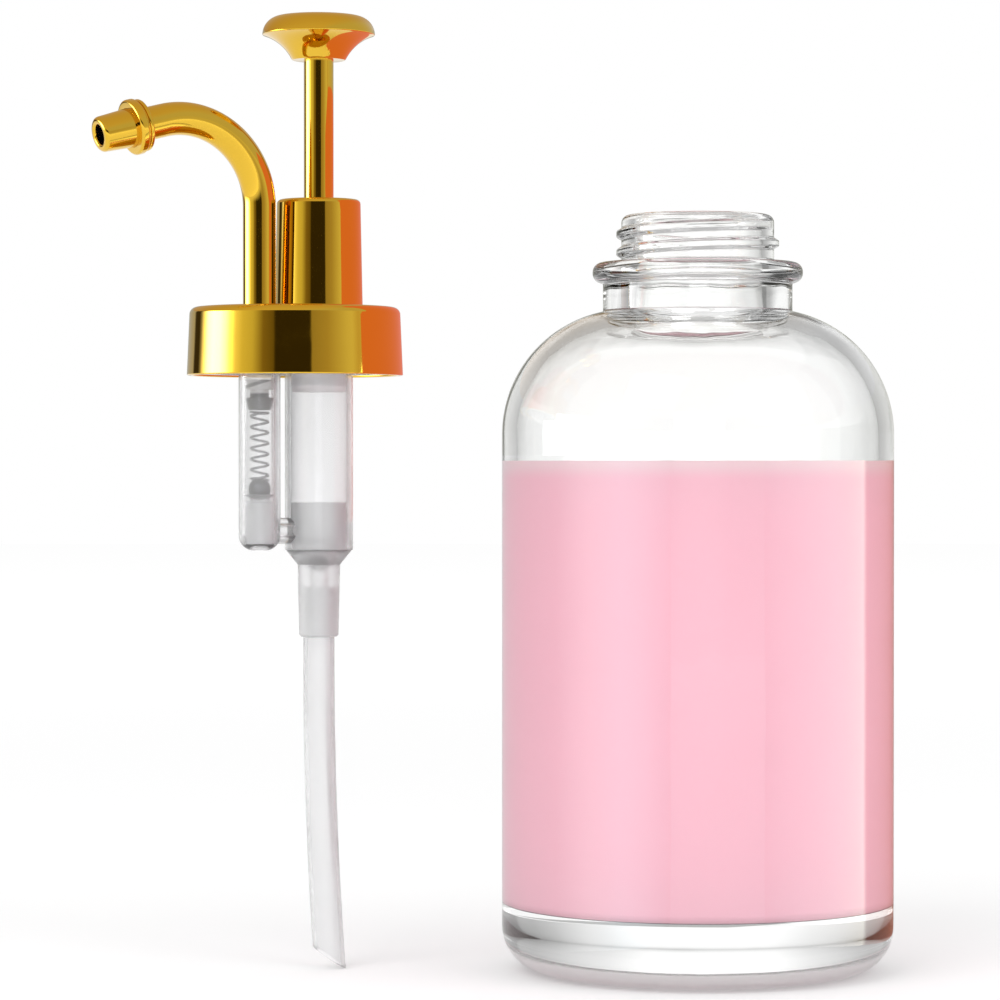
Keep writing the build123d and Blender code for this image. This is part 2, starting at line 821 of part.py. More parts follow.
# Press knob: a mushroom head over a trumpet flare, bored for the rod
knob_bore_r = rod_r + static_clearance
with BuildPart() as press_knob:
    with BuildSketch(upright(chamber_x)):
        with BuildLine():
            Line((knob_bore_r, knob_z), (knob_skirt_r, knob_z))
            RadiusArc((knob_skirt_r, knob_z), (knob_rim_r, knob_rim_z), knob_flare_r)
            TangentArc(
                (knob_rim_r, knob_rim_z),
                (knob_rim_r - knob_crown_round, knob_top),
                tangent=(0, 1),
            )
            Polyline(
                (knob_rim_r - knob_crown_round, knob_top),
                (0, knob_top),
                (0, rod_top + seat_gap),
                (knob_bore_r, rod_top + seat_gap),
                (knob_bore_r, knob_z),
            )
        make_face()
    revolve(axis=upright_axis(chamber_x))
press_knob.part.label = "press_knob"
export_step(press_knob.part, "parts/press_knob.step")

# Cap: the metal shell that turns on the hub, and the threaded liner inside it
cap_top = barrel_z
plate_z = cap_top - cap_plate_h + running_clearance
ledge_z = deck_z - running_clearance
cap_lean = (cap_r_bottom - cap_r_top) / (cap_top - cap_z)
with BuildPart() as closure_cap:
    with BuildSketch(upright(0)):
        with BuildLine():
            Polyline(
                (cap_r_bottom, cap_z),
                (cap_r_top, cap_top),
                (deck_r + seat_gap, cap_top),
                (deck_r + seat_gap, ledge_z),
                (cap_opening_r, ledge_z),
                (cap_opening_r, plate_z),
                (cap_r_top - cap_wall + cap_lean * (cap_top - plate_z), plate_z),
                (cap_r_bottom - cap_wall, cap_z),
                close=True,
            )
        make_face()
    revolve(axis=upright_axis(0))
    rims = closure_cap.edges().filter_by(GeomType.CIRCLE)
    fillet(rims.group_by(Axis.Z)[-1].sort_by(SortBy.RADIUS)[-1], cap_round)
    hem = closure_cap.edges().filter_by(GeomType.CIRCLE).group_by(Axis.Z)[0]
    fillet(hem.sort_by(SortBy.RADIUS)[-1], cap_hem_round)
closure_cap.part.label = "closure_cap"
export_step(closure_cap.part, "parts/closure_cap.step")

# The cap's thread runs midway between the turns of the neck's thread when the pump is seated
seated_rise = bottle_top - gasket_z
liner_z = cap_z + liner_rise
liner_top = plate_z - running_clearance
liner_outer_r = cap_r_bottom - cap_wall - static_clearance
cap_thread_top = bottle_top - seated_rise - thread_start_drop - thread_pitch / 2
cap_thread_z = cap_thread_top - thread_pitch * (cap_thread_turns - cap_thread_lead)
cap_thread_angle = thread_start_angle - 360 * (cap_thread_turns - cap_thread_lead)
cap_thread = (
    Pos(pump_x, 0, cap_thread_z)
    * Rot(0, 0, cap_thread_angle)
    * helical_ridge(
        liner_r,
        finish_r + thread_crest_clearance,
        cap_thread_root_w,
        cap_thread_crest_w,
        thread_root_sink,
        cap_thread_turns,
    )
)
with BuildPart() as cap_liner:
    with BuildSketch(upright(0)):
        with BuildLine():
            Polyline(
                (liner_r, liner_z),
                (liner_outer_r - cap_lean * (liner_z - cap_z), liner_z),
                (liner_outer_r - cap_lean * (liner_top - cap_z), liner_top),
                (liner_r, liner_top),
                close=True,
            )
        make_face()
    revolve(axis=upright_axis(0))
    add(cap_thread)
cap_liner.part.label = "cap_liner"
export_step(cap_liner.part, "parts/cap_liner.step")

# Spout: upright out of the head, over in one bend, and a short straight tail
spout_foot_z = hub_z - spout_socket_h + spout_seal_h + seat_gap
spout_bend_z = barrel_z + spout_rise
with BuildPart() as spout_tube:
    with BuildLine(upright(outlet_x)) as spout_path:
        riser = Line((0, spout_foot_z), (0, spout_bend_z))
        bend = JernArc(riser @ 1, riser % 1, spout_bend_r, spout_bend_angle)
        tail = Line(bend @ 1, bend @ 1 + (bend % 1) * spout_tail)
    with BuildSketch(level(outlet_x, spout_foot_z)):
        ring(spout_r, spout_r - spout_wall)
    sweep(path=spout_path.line)
spout_tube.part.label = "spout_tube"
export_step(spout_tube.part, "parts/spout_tube.step")

with BuildPart() as spout_seal:
    with BuildSketch(level(outlet_x, hub_z - spout_socket_h)):
        ring(spout_r, spout_seal_bore_r)
    extrude(amount=spout_seal_h)
spout_seal.part.label = "spout_seal"
export_step(spout_seal.part, "parts/spout_seal.step")

# Nozzle and its collar, revolved about the spout's tail: x runs along the tail from the bend
tail_plane = Plane(origin=tail @ 0, x_dir=tail % 0, z_dir=-head_y)
tail_axis = Axis(tail @ 0, tail % 0)
tail_fit_r = spout_r + static_clearance
sleeve_fit_r = nozzle_r + static_clearance
with BuildPart() as spout_collar:
    with BuildSketch(tail_plane):
        with BuildLine():
            Polyline(
                (collar_start, tail_fit_r),
                (collar_start, collar_lip_r),
                (collar_groove_start, collar_lip_r),
                (collar_groove_start, collar_groove_r),
                (collar_ring_start, collar_groove_r),
                (collar_ring_start, collar_ring_r),
                (collar_end, collar_ring_r),
                (collar_end, sleeve_fit_r),
                (collar_groove_start, sleeve_fit_r),
                (collar_groove_start, tail_fit_r),
                close=True,
            )
        make_face()
    revolve(axis=tail_axis)
    crests = spout_collar.edges().filter_by(GeomType.CIRCLE)
    fillet(crests.filter_by(lambda edge: edge.radius > collar_groove_r + collar_round), collar_round)
spout_collar.part.label = "spout_collar"
export_step(spout_collar.part, "parts/spout_collar.step")

nozzle_start = collar_groove_start + running_clearance
nozzle_seat = spout_tail + seat_gap
with BuildPart() as nozzle_tip:
    with BuildSketch(tail_plane):
        with BuildLine():
            Polyline(
                (nozzle_start, tail_fit_r),
                (nozzle_start, nozzle_r),
                (collar_end, nozzle_r),
                (nozzle_reach, nozzle_tip_r),
                (nozzle_reach, nozzle_bore_r),
                (nozzle_seat, nozzle_bore_r),
                (nozzle_seat, tail_fit_r),
                close=True,
            )
        make_face()
    revolve(axis=tail_axis)
    mouth_rims = nozzle_tip.edges().filter_by(GeomType.CIRCLE)
    fillet(mouth_rims.filter_by(lambda edge: abs(edge.radius - nozzle_tip_r) < 0.001), nozzle_round)
nozzle_tip.part.label = "nozzle_tip"
export_step(nozzle_tip.part, "parts/nozzle_tip.step")

nozzle_mouth = tail_plane.from_local_coords((nozzle_reach, 0, 0))
print(f"nozzle mouth {tuple(nozzle_mouth)}, axis {tuple(tail % 0)}")
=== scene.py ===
from math import atan2, ceil, cos, degrees, pi, radians, sin, tan

import bpy
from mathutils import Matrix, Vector, noise


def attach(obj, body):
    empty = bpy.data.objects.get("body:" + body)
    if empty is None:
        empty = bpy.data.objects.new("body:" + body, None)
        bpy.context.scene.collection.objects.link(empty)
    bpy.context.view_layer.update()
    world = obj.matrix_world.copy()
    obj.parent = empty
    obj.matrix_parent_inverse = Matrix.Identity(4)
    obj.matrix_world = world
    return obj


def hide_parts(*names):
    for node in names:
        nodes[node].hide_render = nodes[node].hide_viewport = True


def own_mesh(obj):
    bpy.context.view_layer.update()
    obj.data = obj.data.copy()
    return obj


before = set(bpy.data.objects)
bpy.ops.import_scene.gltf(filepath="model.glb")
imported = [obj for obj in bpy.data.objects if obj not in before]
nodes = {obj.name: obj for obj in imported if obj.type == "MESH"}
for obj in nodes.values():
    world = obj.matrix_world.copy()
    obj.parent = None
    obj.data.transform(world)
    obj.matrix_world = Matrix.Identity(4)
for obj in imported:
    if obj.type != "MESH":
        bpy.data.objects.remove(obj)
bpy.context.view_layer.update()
print("frame loaded:", len(nodes), "CAD nodes")

mm = 0.001
up = Vector((0, 0, 1))

# Where things stand, in millimetres, as in the CAD
stand = {
    "bottleX": 40.40629,
    "pumpX": -40.89371,
    "yaw": 30.0,
    "chamberAlong": 5.4,
    "outletAlong": -8.0,
}
headX = Vector((cos(radians(stand["yaw"])), sin(radians(stand["yaw"])), 0))
headY = Vector((-sin(radians(stand["yaw"])), cos(radians(stand["yaw"])), 0))
bottleAxis = Vector((stand["bottleX"], 0, 0))
capAxis = Vector((stand["pumpX"], 0, 0))
chamberAxis = capAxis + headX * stand["chamberAlong"]
outletAxis = capAxis + headX * stand["outletAlong"]


# Node trees: a Signal is one socket that sums can be written with
class Signal:
    def __init__(self, net, socket):
        self.net, self.socket = net, socket

    def also(self, name):                        # another output of the same node
        return Signal(self.net, self.socket.node.outputs[name])

    def __add__(self, other):
        return self.net.maths("ADD", self, other)

    def __radd__(self, other):
        return self.net.maths("ADD", other, self)

    def __sub__(self, other):
        return self.net.maths("SUBTRACT", self, other)

    def __rsub__(self, other):
        return self.net.maths("SUBTRACT", other, self)

    def __mul__(self, other):
        return self.net.maths("MULTIPLY", self, other)

    def __rmul__(self, other):
        return self.net.maths("MULTIPLY", other, self)

    def __truediv__(self, other):
        return self.net.maths("DIVIDE", self, other)

    def __rtruediv__(self, other):
        return self.net.maths("DIVIDE", other, self)


class Net:
    def __init__(self, tree):
        self.tree = tree

    def node(self, kind, settings=None, sockets=None, out=0):
        made = self.tree.nodes.new(kind)
        for key, value in (settings or {}).items():
            if key == "stops":
                self.setStops(made.color_ramp, value)
            else:
                setattr(made, key, value)
        for key, value in (sockets or {}).items():
            if isinstance(value, Signal):
                self.tree.links.new(value.socket, made.inputs[key])
            else:
                made.inputs[key].default_value = value
        return Signal(self, made.outputs[out]) if made.outputs else made

    def setStops(self, ramp, stops):
        while len(ramp.elements) < len(stops):
            ramp.elements.new(1.0)
        for element, (position, colour) in zip(ramp.elements, stops):
            element.position, element.color = position, colour

    def maths(self, operation, *values):
        return self.node("ShaderNodeMath", {"operation": operation}, dict(enumerate(values)))

    def blend(self, factor, one, two):           # from colour one to colour two
        return self.node("ShaderNodeMix", {"data_type": "RGBA"}, {0: factor, 6: one, 7: two}, 2)

    def spread(self, value, low, high, toLow=0.0, toHigh=1.0, shape="SMOOTHSTEP"):
        return self.node(
            "ShaderNodeMapRange",
            {"interpolation_type": shape},
            {"Value": value, "From Min": low, "From Max": high, "To Min": toLow, "To Max": toHigh},
        )

    def grain(self, place, scale, detail=2.0, roughness=0.5):
        return self.node(
            "ShaderNodeTexNoise",
            sockets={"Vector": place, "Scale": scale, "Detail": detail, "Roughness": roughness},
        )

    def bump(self, height, strength, distance):
        return self.node(
            "ShaderNodeBump", sockets={"Height": height, "Strength": strength, "Distance": distance}
        )

    def spot(self):
        return self.node("ShaderNodeTexCoord", out="Object")

    def place(self, scale=(1, 1, 1), shift=(0, 0, 0)):
        sockets = {"Vector": self.spot(), "Scale": scale, "Location": shift}
        return self.node("ShaderNodeMapping", sockets=sockets)

    def split(self, vector):
        x = self.node("ShaderNodeSeparateXYZ", sockets={0: vector}, out="X")
        return x, x.also("Y"), x.also("Z")

    def vector(self, operation, *values, out=0, **named):
        sockets = {**dict(enumerate(values)), **named}
        return self.node("ShaderNodeVectorMath", {"operation": operation}, sockets, out)

    def principled(self, sockets):
        return self.node("ShaderNodeBsdfPrincipled", sockets=sockets)

    def glow(self, tone, strength):
        return self.node("ShaderNodeEmission", sockets={"Color": tone, "Strength": strength})

    def output(self, shader):
        self.node("ShaderNodeOutputMaterial", sockets={"Surface": shader})


def grey(level):
    return (level, level, level, 1)


def newFinish(name):
    material = bpy.data.materials.new(name)
    material.use_nodes = True
    material.node_tree.nodes.clear()
    return material, Net(material.node_tree)


grainSpan = (0.3, 0.7)                           # where a grain has most of its values
fineDepth = 0.0002


def varied(net, grain, look):                    # roughness that follows a grain
    low, high = look["roughness"] * look["less"], look["roughness"] * look["more"]
    return net.spread(grain, *grainSpan, low, high, "LINEAR")


# Gold: a bright metal coat on smooth moulded and drawn parts
gold = {
    "light": (0.80, 0.50, 0.032, 1), "deep": (0.74, 0.45, 0.026, 1), "cloudScale": 55.0,
    "roughness": 0.05, "smudge": 0.05, "smudgeScale": 130.0, "smudgeFrom": 0.45, "smudgeTo": 0.75,
    "coat": 0.5, "coatRoughness": 0.06,
    "ripple": 0.05, "rippleScale": 160.0, "rippleDepth": 0.0005,
}


def makeGold(look):
    material, net = newFinish("polishedGold")
    place = net.place()
    cloud = net.grain(place, look["cloudScale"], detail=3.0)
    smudge = net.grain(place, look["smudgeScale"], detail=4.0, roughness=0.6)
    smudge = net.spread(smudge, look["smudgeFrom"], look["smudgeTo"])
    ripple = net.grain(place, look["rippleScale"], detail=1.0)
    net.output(net.principled({
        "Base Color": net.blend(cloud, look["light"], look["deep"]),
        "Metallic": 1.0,
        "Roughness": smudge * look["smudge"] + look["roughness"],
        "Coat Weight": look["coat"],
        "Coat Roughness": look["coatRoughness"],
        "Normal": net.bump(ripple, look["ripple"], look["rippleDepth"]),
    }))
    return material


# Bottle glass: clear, with the faint waviness of a mould and a few seeds
glass = {
    "tone": (0.985, 0.99, 0.985, 1), "ior": 1.5,
    "wave": 0.10, "waveScale": 70.0, "waveStretch": (1, 1, 0.35), "waveDepth": 0.001,
    "seedRoughness": 0.2, "seedScale": 900.0, "seedFrom": 0.78, "seedTo": 0.82,
}


def makeGlass(look):
    material, net = newFinish("bottleGlass")
    wave = net.grain(net.place(look["waveStretch"]), look["waveScale"])
    seeds = net.grain(net.place(), look["seedScale"], detail=1.0)
    seeds = net.spread(seeds, look["seedFrom"], look["seedTo"])
    net.output(net.principled({
        "Base Color": look["tone"],
        "Roughness": seeds * look["seedRoughness"],
        "IOR": look["ior"],
        "Transmission Weight": 1.0,
        "Normal": net.bump(wave, look["wave"], look["waveDepth"]),
    }))
    return material


# Syrup: milky pink, with a paler skin. Its underside has painted light, pale in the middle, and painted
# shade, dark at the rim. Its faint glow is painted light too
syrup = {
    "pink": (1.0, 0.56, 0.67, 1), "pale": (1.0, 0.60, 0.70, 1),
    "cloudScale": 30.0, "cloudStretch": (1, 1, 0.4),
    "skin": (0.97, 0.72, 0.77, 1), "skinFrom": 0.0990, "skinTo": 0.1026,
    # under is painted light and rim is painted shade on the syrup's underside
    "under": (1.0, 0.93, 0.95, 1), "rim": (0.11, 0.085, 0.08, 1),
    "paintedUndersideFrom": 0.01350, "paintedUndersideTo": 0.01375,
    "paintedShadeFrom": 0.023, "paintedShadeTo": 0.031,
    # glow is painted light: the syrup glows though it is no lamp
    "roughness": 0.18, "ior": 1.4, "glow": 0.06,
}


def makeSyrup(look):
    material, net = newFinish("pinkSyrup")
    cloud = net.grain(net.place(look["cloudStretch"]), look["cloudScale"], detail=3.0)
    x, y, height = net.split(net.place(shift=(-stand["bottleX"] * mm, 0, 0)))
    skin = net.spread(height, look["skinFrom"], look["skinTo"])
    tone = net.blend(skin, net.blend(cloud, look["pink"], look["pale"]), look["skin"])
    # painted shade at the underside's rim, painted light in its middle
    rim = net.spread(net.maths("SQRT", x * x + y * y), look["paintedShadeFrom"], look["paintedShadeTo"])
    under = net.blend(rim, look["under"], look["rim"])
    tone = net.blend(net.spread(height, look["paintedUndersideFrom"], look["paintedUndersideTo"]), under, tone)
    net.output(net.principled({
        "Base Color": tone,
        "Roughness": look["roughness"],
        "IOR": look["ior"],
        # painted light: the syrup's glow, in its own tone
        "Emission Color": tone,
        "Emission Strength": look["glow"],
    }))
    return material


# Translucent plastics of the pump's body, with drifting milkiness and the faint lines of a drawn tube
plastic = {
    "ior": 1.46, "cloudScale": 90.0, "cloudStretch": (1, 1, 0.5), "cloudFrom": 0.35, "cloudTo": 0.7,
    "line": 0.04, "lineScale": 120.0, "lineStretch": (1, 1, 0.15), "lineDepth": 0.0004,
}
frosted = {
    "name": "frostedBody", "tone": (0.985, 0.987, 0.99, 1), "milky": (0.95, 0.953, 0.96, 1),
    "clearRoughness": 0.08, "milkyRoughness": 0.22, "transmission": 0.88,
}
tubing = {
    "name": "dipTubing", "tone": (0.985, 0.987, 0.99, 1), "milky": (0.95, 0.955, 0.96, 1),
    "clearRoughness": 0.12, "milkyRoughness": 0.24, "transmission": 0.80,
}
foot = {
    "name": "milkyFoot", "tone": (0.98, 0.982, 0.985, 1), "milky": (0.95, 0.953, 0.96, 1),
    "clearRoughness": 0.30, "milkyRoughness": 0.44, "transmission": 0.80,
}
seat = {
    "name": "milkySeat", "tone": (0.95, 0.95, 0.955, 1), "milky": (0.90, 0.90, 0.91, 1),
    "clearRoughness": 0.22, "milkyRoughness": 0.36, "transmission": 0.62,
    "clearFrom": 0.0942, "clearTo": 0.0952, "topRoughness": 0.1, "topTransmission": 0.95,
}


def makeTranslucent(look):
    material, net = newFinish(look["name"])
    cloud = net.grain(net.place(plastic["cloudStretch"]), plastic["cloudScale"])
    lines = net.grain(net.place(plastic["lineStretch"]), plastic["lineScale"], detail=1.0)
    bump = net.bump(lines, plastic["line"], plastic["lineDepth"])
    shader = net.principled({
        "Base Color": net.blend(cloud, look["tone"], look["milky"]),
        "Roughness": net.spread(
            cloud, plastic["cloudFrom"], plastic["cloudTo"], look["clearRoughness"], look["milkyRoughness"]
        ),
        "IOR": plastic["ior"],
        "Transmission Weight": look["transmission"],
        "Normal": bump,
    })
    if "clearFrom" in look:                      # clear above a height, where the ball sits in it
        clear = net.principled({
            "Base Color": look["tone"],
            "Roughness": look["topRoughness"],
            "IOR": plastic["ior"],
            "Transmission Weight": look["topTransmission"],
            "Normal": bump,
        })
        height = net.split(net.place())[2]
        shader = net.node("ShaderNodeMixShader", sockets={
            0: net.spread(height, look["clearFrom"], look["clearTo"]), 1: shader, 2: clear,
        })
    net.output(shader)
    return material


# Solid plastics and rubber, each with its own speckle and sheen; the glow of the piston and the silicone is
# painted light
speckled = {"less": 0.85, "more": 1.15, "finer": 2, "bump": 0.15}
solids = {
    "greyPlastic": {
        "light": (0.84, 0.84, 0.85, 1), "dark": (0.74, 0.74, 0.76, 1),
        "roughness": 0.38, "scale": 420.0, "glow": 0.0,
    },
    "whitePlastic": {
        "light": (0.86, 0.86, 0.85, 1), "dark": (0.79, 0.79, 0.78, 1),
        "roughness": 0.32, "scale": 380.0, "glow": 0.0,
    },
    "pistonPlastic": {
        "light": (0.95, 0.91, 0.92, 1), "dark": (0.88, 0.84, 0.85, 1),
        # painted light: the piston glows though it is no lamp
        "roughness": 0.40, "scale": 400.0, "glow": 0.16,
    },
    "paleSilicone": {
        "light": (0.92, 0.90, 0.91, 1), "dark": (0.84, 0.82, 0.83, 1),
        # painted light: the silicone glows though it is no lamp
        "roughness": 0.55, "scale": 700.0, "glow": 0.12,
    },
}


def makeSolid(name, look):
    material, net = newFinish(name)
    place = net.place()
    speckle = net.grain(place, look["scale"], detail=3.0)
    finer = net.grain(place, look["scale"] * speckled["finer"])
    tone = net.blend(speckle, look["light"], look["dark"])
    net.output(net.principled({
        "Base Color": tone,
        # painted light: a glow in the part's own tone, where the look gives one
        "Emission Color": tone,
        "Emission Strength": look["glow"],
        "Roughness": varied(net, speckle, {**look, **speckled}),
        "Normal": net.bump(finer, speckled["bump"], fineDepth),
    }))
    return material


# The spring's retainer: dark at its waist and foot, which is painted shade, paler above with the slanted
# marks of its ribs
retainer = {
    # dark is painted shade below the heights from and to
    "dark": (0.10, 0.10, 0.10, 1), "pale": (0.86, 0.85, 0.84, 1), "mark": (0.34, 0.34, 0.33, 1),
    "from": 0.1162, "to": 0.1168, "marks": 0.00165, "slant": 0.35, "markFrom": 0.12, "markTo": 0.34,
    "roughness": 0.3, "less": 0.8, "more": 1.2, "scale": 500.0, "bump": 0.1,
}


def makeRetainer(look):
    material, net = newFinish("ribbedRetainer")
    place = net.place()
    x, y, z = net.split(place)
    wave = net.maths("PINGPONG", (z - x * look["slant"]) / look["marks"], 1.0)
    ribbed = net.blend(net.spread(wave, look["markFrom"], look["markTo"]), look["mark"], look["pale"])
    speckle = net.grain(place, look["scale"], detail=3.0)
    net.output(net.principled({
        # painted shade: dark below a height, ribbed and pale above it
        "Base Color": net.blend(net.spread(z, look["from"], look["to"]), look["dark"], ribbed),
        "Roughness": varied(net, speckle, look),
        "Normal": net.bump(speckle, look["bump"], fineDepth),
    }))
    return material


# Steel: drawn wire with lengthwise marks, and polished balls
marked = {"less": 0.7, "more": 1.4, "scale": 600.0, "bump": 0.08}
steels = {
    "springWire": {
        "tone": (0.34, 0.34, 0.35, 1), "dark": (0.20, 0.20, 0.21, 1),
        "roughness": 0.22, "stretch": (1, 1, 6),
    },
    "polishedBall": {
        "tone": (0.07, 0.07, 0.075, 1), "dark": (0.03, 0.03, 0.035, 1),
        "roughness": 0.12, "stretch": (1, 1, 1),
    },
}


def makeSteel(name, look):
    material, net = newFinish(name)
    marks = net.grain(net.place(look["stretch"]), marked["scale"], detail=3.0)
    net.output(net.principled({
        "Base Color": net.blend(marks, look["tone"], look["dark"]),
        "Metallic": 1.0,
        "Roughness": varied(net, marks, {**look, **marked}),
        "Normal": net.bump(marks, marked["bump"], fineDepth),
    }))
    return material


finishes = {
    "gold_metal": makeGold(gold),
    "clear_glass": makeGlass(glass),
    "syrup": makeSyrup(syrup),
    "frosted_plastic": makeTranslucent(frosted),
    "dip_tube_plastic": makeTranslucent(tubing),
    "grey_plastic": makeSolid("greyPlastic", solids["greyPlastic"]),
    "white_plastic": makeSolid("whitePlastic", solids["whitePlastic"]),
    "silicone": makeSolid("paleSilicone", solids["paleSilicone"]),
    "spring_steel": makeSteel("springWire", steels["springWire"]),
    "ball_steel": makeSteel("polishedBall", steels["polishedBall"]),
}
own = {
    "foot_valve_body": makeTranslucent(foot),
    "outlet_valve_seat": makeTranslucent(seat),
    "spring_retainer": makeRetainer(retainer),
    "piston": makeSolid("pistonPlastic", solids["pistonPlastic"]),
}
slotOf = {}
for node in nodes.values():
    slotOf[node.name] = node.material_slots[0].material.name
    node.material_slots[0].material = own.get(node.name, finishes[slotOf[node.name]])
print("finishes made:", len(finishes))


# Outlines of turned pieces: (radius, height) points, anticlockwise round the solid
tiny = 1e-6


def arcRun(centre, radius, start, stop, steps):
    angles = [radians(start + (stop - start) * i / steps) for i in range(steps + 1)]
    return [(centre[0] + radius * cos(a), centre[1] + radius * sin(a)) for a in angles]


def wallRun(radius, start, stop, steps):         # the points between two heights, without its ends
    return [(radius, start + (stop - start) * k / steps) for k in range(1, steps)]


def rounded(corners, steps=6):                   # corners are (radius, height, round)
    points = []
    for i, (x, y, size) in enumerate(corners):
        here = Vector((x, y))
        if not size:
            points.append((x, y))
            continue
        back = (Vector(corners[i - 1][:2]) - here).normalized()
        ahead = (Vector(corners[(i + 1) % len(corners)][:2]) - here).normalized()
        half = back.angle(ahead) / 2
        centre = here + (back + ahead).normalized() * size / sin(half)
        one = here + back * size / tan(half) - centre
        two = here + ahead * size / tan(half) - centre
        turn = one.angle(two)
        for k in range(steps + 1):
            spoke = (one * sin(turn * (1 - k / steps)) + two * sin(turn * k / steps)) / sin(turn)
            points.append(tuple(centre + spoke))
    return points


def upright(axis):                               # stations of a piece turned about a vertical axis
    return lambda height: (axis + up * height, headX, headY, up)


def turned(name, outline, station, finish, around, shift=None, sharp=35.0):
    area = sum(a[0] * b[1] - b[0] * a[1] for a, b in zip(outline, outline[1:] + outline[:1]))
    if area < 0:
        outline = outline[::-1]
    count = len(outline)
    runs = [Vector(outline[(i + 1) % count]) - Vector(outline[i]) for i in range(count)]
    normals = [Vector((run.y, -run.x)).normalized() if run.length > tiny else Vector((0, 0)) for run in runs]
    verts, rings = [], []
    angles = [2 * pi * k / around for k in range(around)]
    for radius, height in outline:
        centre, across, beside, ahead = station(height)
        if radius < tiny:                        # a pole is one point
            rings.append([len(verts)] * around)
            verts.append(centre * mm)
            continue
        rings.append(list(range(len(verts), len(verts) + around)))
        for a in angles:
            spoke = across * cos(a) + beside * sin(a)
            extra = shift(radius, height, a) if shift else 0.0
            verts.append((centre + spoke * (radius + extra)) * mm)
    faces, loopNormals = [], []
    for i in range(count):
        j = (i + 1) % count
        if rings[i][0] == rings[i][-1] and rings[j][0] == rings[j][-1]:
            continue
        ends = []                                # the normal at each end, shared where the corner is soft
        for other in ((i - 1) % count, j):
            one, two = normals[other], normals[i]
            soft = one.length and degrees(one.angle(two)) < sharp
            ends.append((one * runs[other].length + two * runs[i].length).normalized() if soft else two)
        stations = [station(outline[i][1]), station(outline[j][1])]
        for k in range(around):
            m = (k + 1) % around
            face = []
            for ring, end, column in ((i, 0, k), (i, 0, m), (j, 1, m), (j, 1, k)):
                vertex = rings[ring][column]
                if any(vertex == seen for seen, _ in face):
                    continue
                _, across, beside, ahead = stations[end]
                spoke = across * cos(angles[column]) + beside * sin(angles[column])
                face.append((vertex, spoke * ends[end].x + ahead * ends[end].y))
            faces.append([vertex for vertex, _ in face])
            loopNormals.extend(normal for _, normal in face)
    mesh = bpy.data.meshes.new(name)
    mesh.from_pydata(verts, [], faces)
    mesh.polygons.foreach_set("use_smooth", [True] * len(mesh.polygons))
    if shift is None:
        mesh.normals_split_custom_set(loopNormals)
    mesh.materials.append(finish)
    piece = bpy.data.objects.new(name, mesh)
    bpy.context.scene.collection.objects.link(piece)
    return piece


def settle(piece, node, body):                   # the piece stands for a CAD node
    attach(piece, body)
    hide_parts(node)
    return piece


def goldPiece(name, outline, station, around, node, body):
    settle(turned(name, outline, station, finishes["gold_metal"], around), node, body)


# Studio camera at the photograph's angle
camera = {
    "eye": (0.5, -784.0, 103.0), "aim": (0.5, 0.0, 95.0),
    "lens": 139.7, "sensor": 36.0, "near": 0.05, "far": 20.0,
}
lens = bpy.data.cameras.new("photoCamera")
lens.lens, lens.sensor_width = camera["lens"], camera["sensor"]
lens.clip_start, lens.clip_end = camera["near"], camera["far"]
viewer = bpy.data.objects.new("photoCamera", lens)
viewer.location = Vector(camera["eye"]) * mm
viewer.rotation_euler = (Vector(camera["aim"]) - Vector(camera["eye"])).to_track_quat("-Z", "Y").to_euler()
bpy.context.scene.collection.objects.link(viewer)
bpy.context.scene.camera = viewer

# Bottle
bottle = {
    "radius": 39.5, "wall": 3.0, "heel": 9.0, "ringInner": 27.5, "ringOuter": 30.5, "pushUp": 1.6,
    "floor": 13.5, "innerHeel": 1.8,
    "shoulderZ": 108.2, "shoulderCentre": 14.2, "shoulderR": 25.3, "shoulderTurn": 77.6,
    "leadR": 19.6, "leadZ": 132.87, "bandR": 19.1, "bandZ": 133.07, "bandRound": 0.35,
    "beadR": 21.2, "beadZ": 138.82, "beadRound": 1.9, "beadFoot": 0.5,
    "finishR": 15.4, "finishZ": 142.92, "finishFoot": 0.6,
    "top": 152.52, "lipOuter": 1.6, "lipInner": 0.8,
    "mouthR": 12.8, "throatTop": 130.5, "throatZ": 131.9, "throatRound": 1.4, "around": 240,
}
bottleSteps = {
    "pushUp": 14, "heel": 20, "wall": 40, "shoulder": 40, "finish": 8, "mouth": 30, "throat": 8,
    "innerShoulder": 44, "innerWall": 36, "innerHeel": 18, "floor": 12,
}
thread = {
    "Pitch": 3.7, "Turns": 1.5, "Depth": 1.0, "Crest Width": 0.9, "Root Width": 2.5,
    "Top Height": 150.22, "Top Angle": -29.0, "Fade": 0.05, "Wall Radius": 15.4, "Wall Tolerance": 0.02,
}
threadRows = {"low": 143.0, "high": 151.9, "step": 0.16, "near": 0.01}
ripple = {                                       # the uneven inner wall of the blown neck, most at its throat
    "within": 14.5, "above": 100.0, "middle": 131.0, "reach": 14.0, "least": 0.06, "most": 0.35,
    "around": 2.2, "along": 0.11,
}


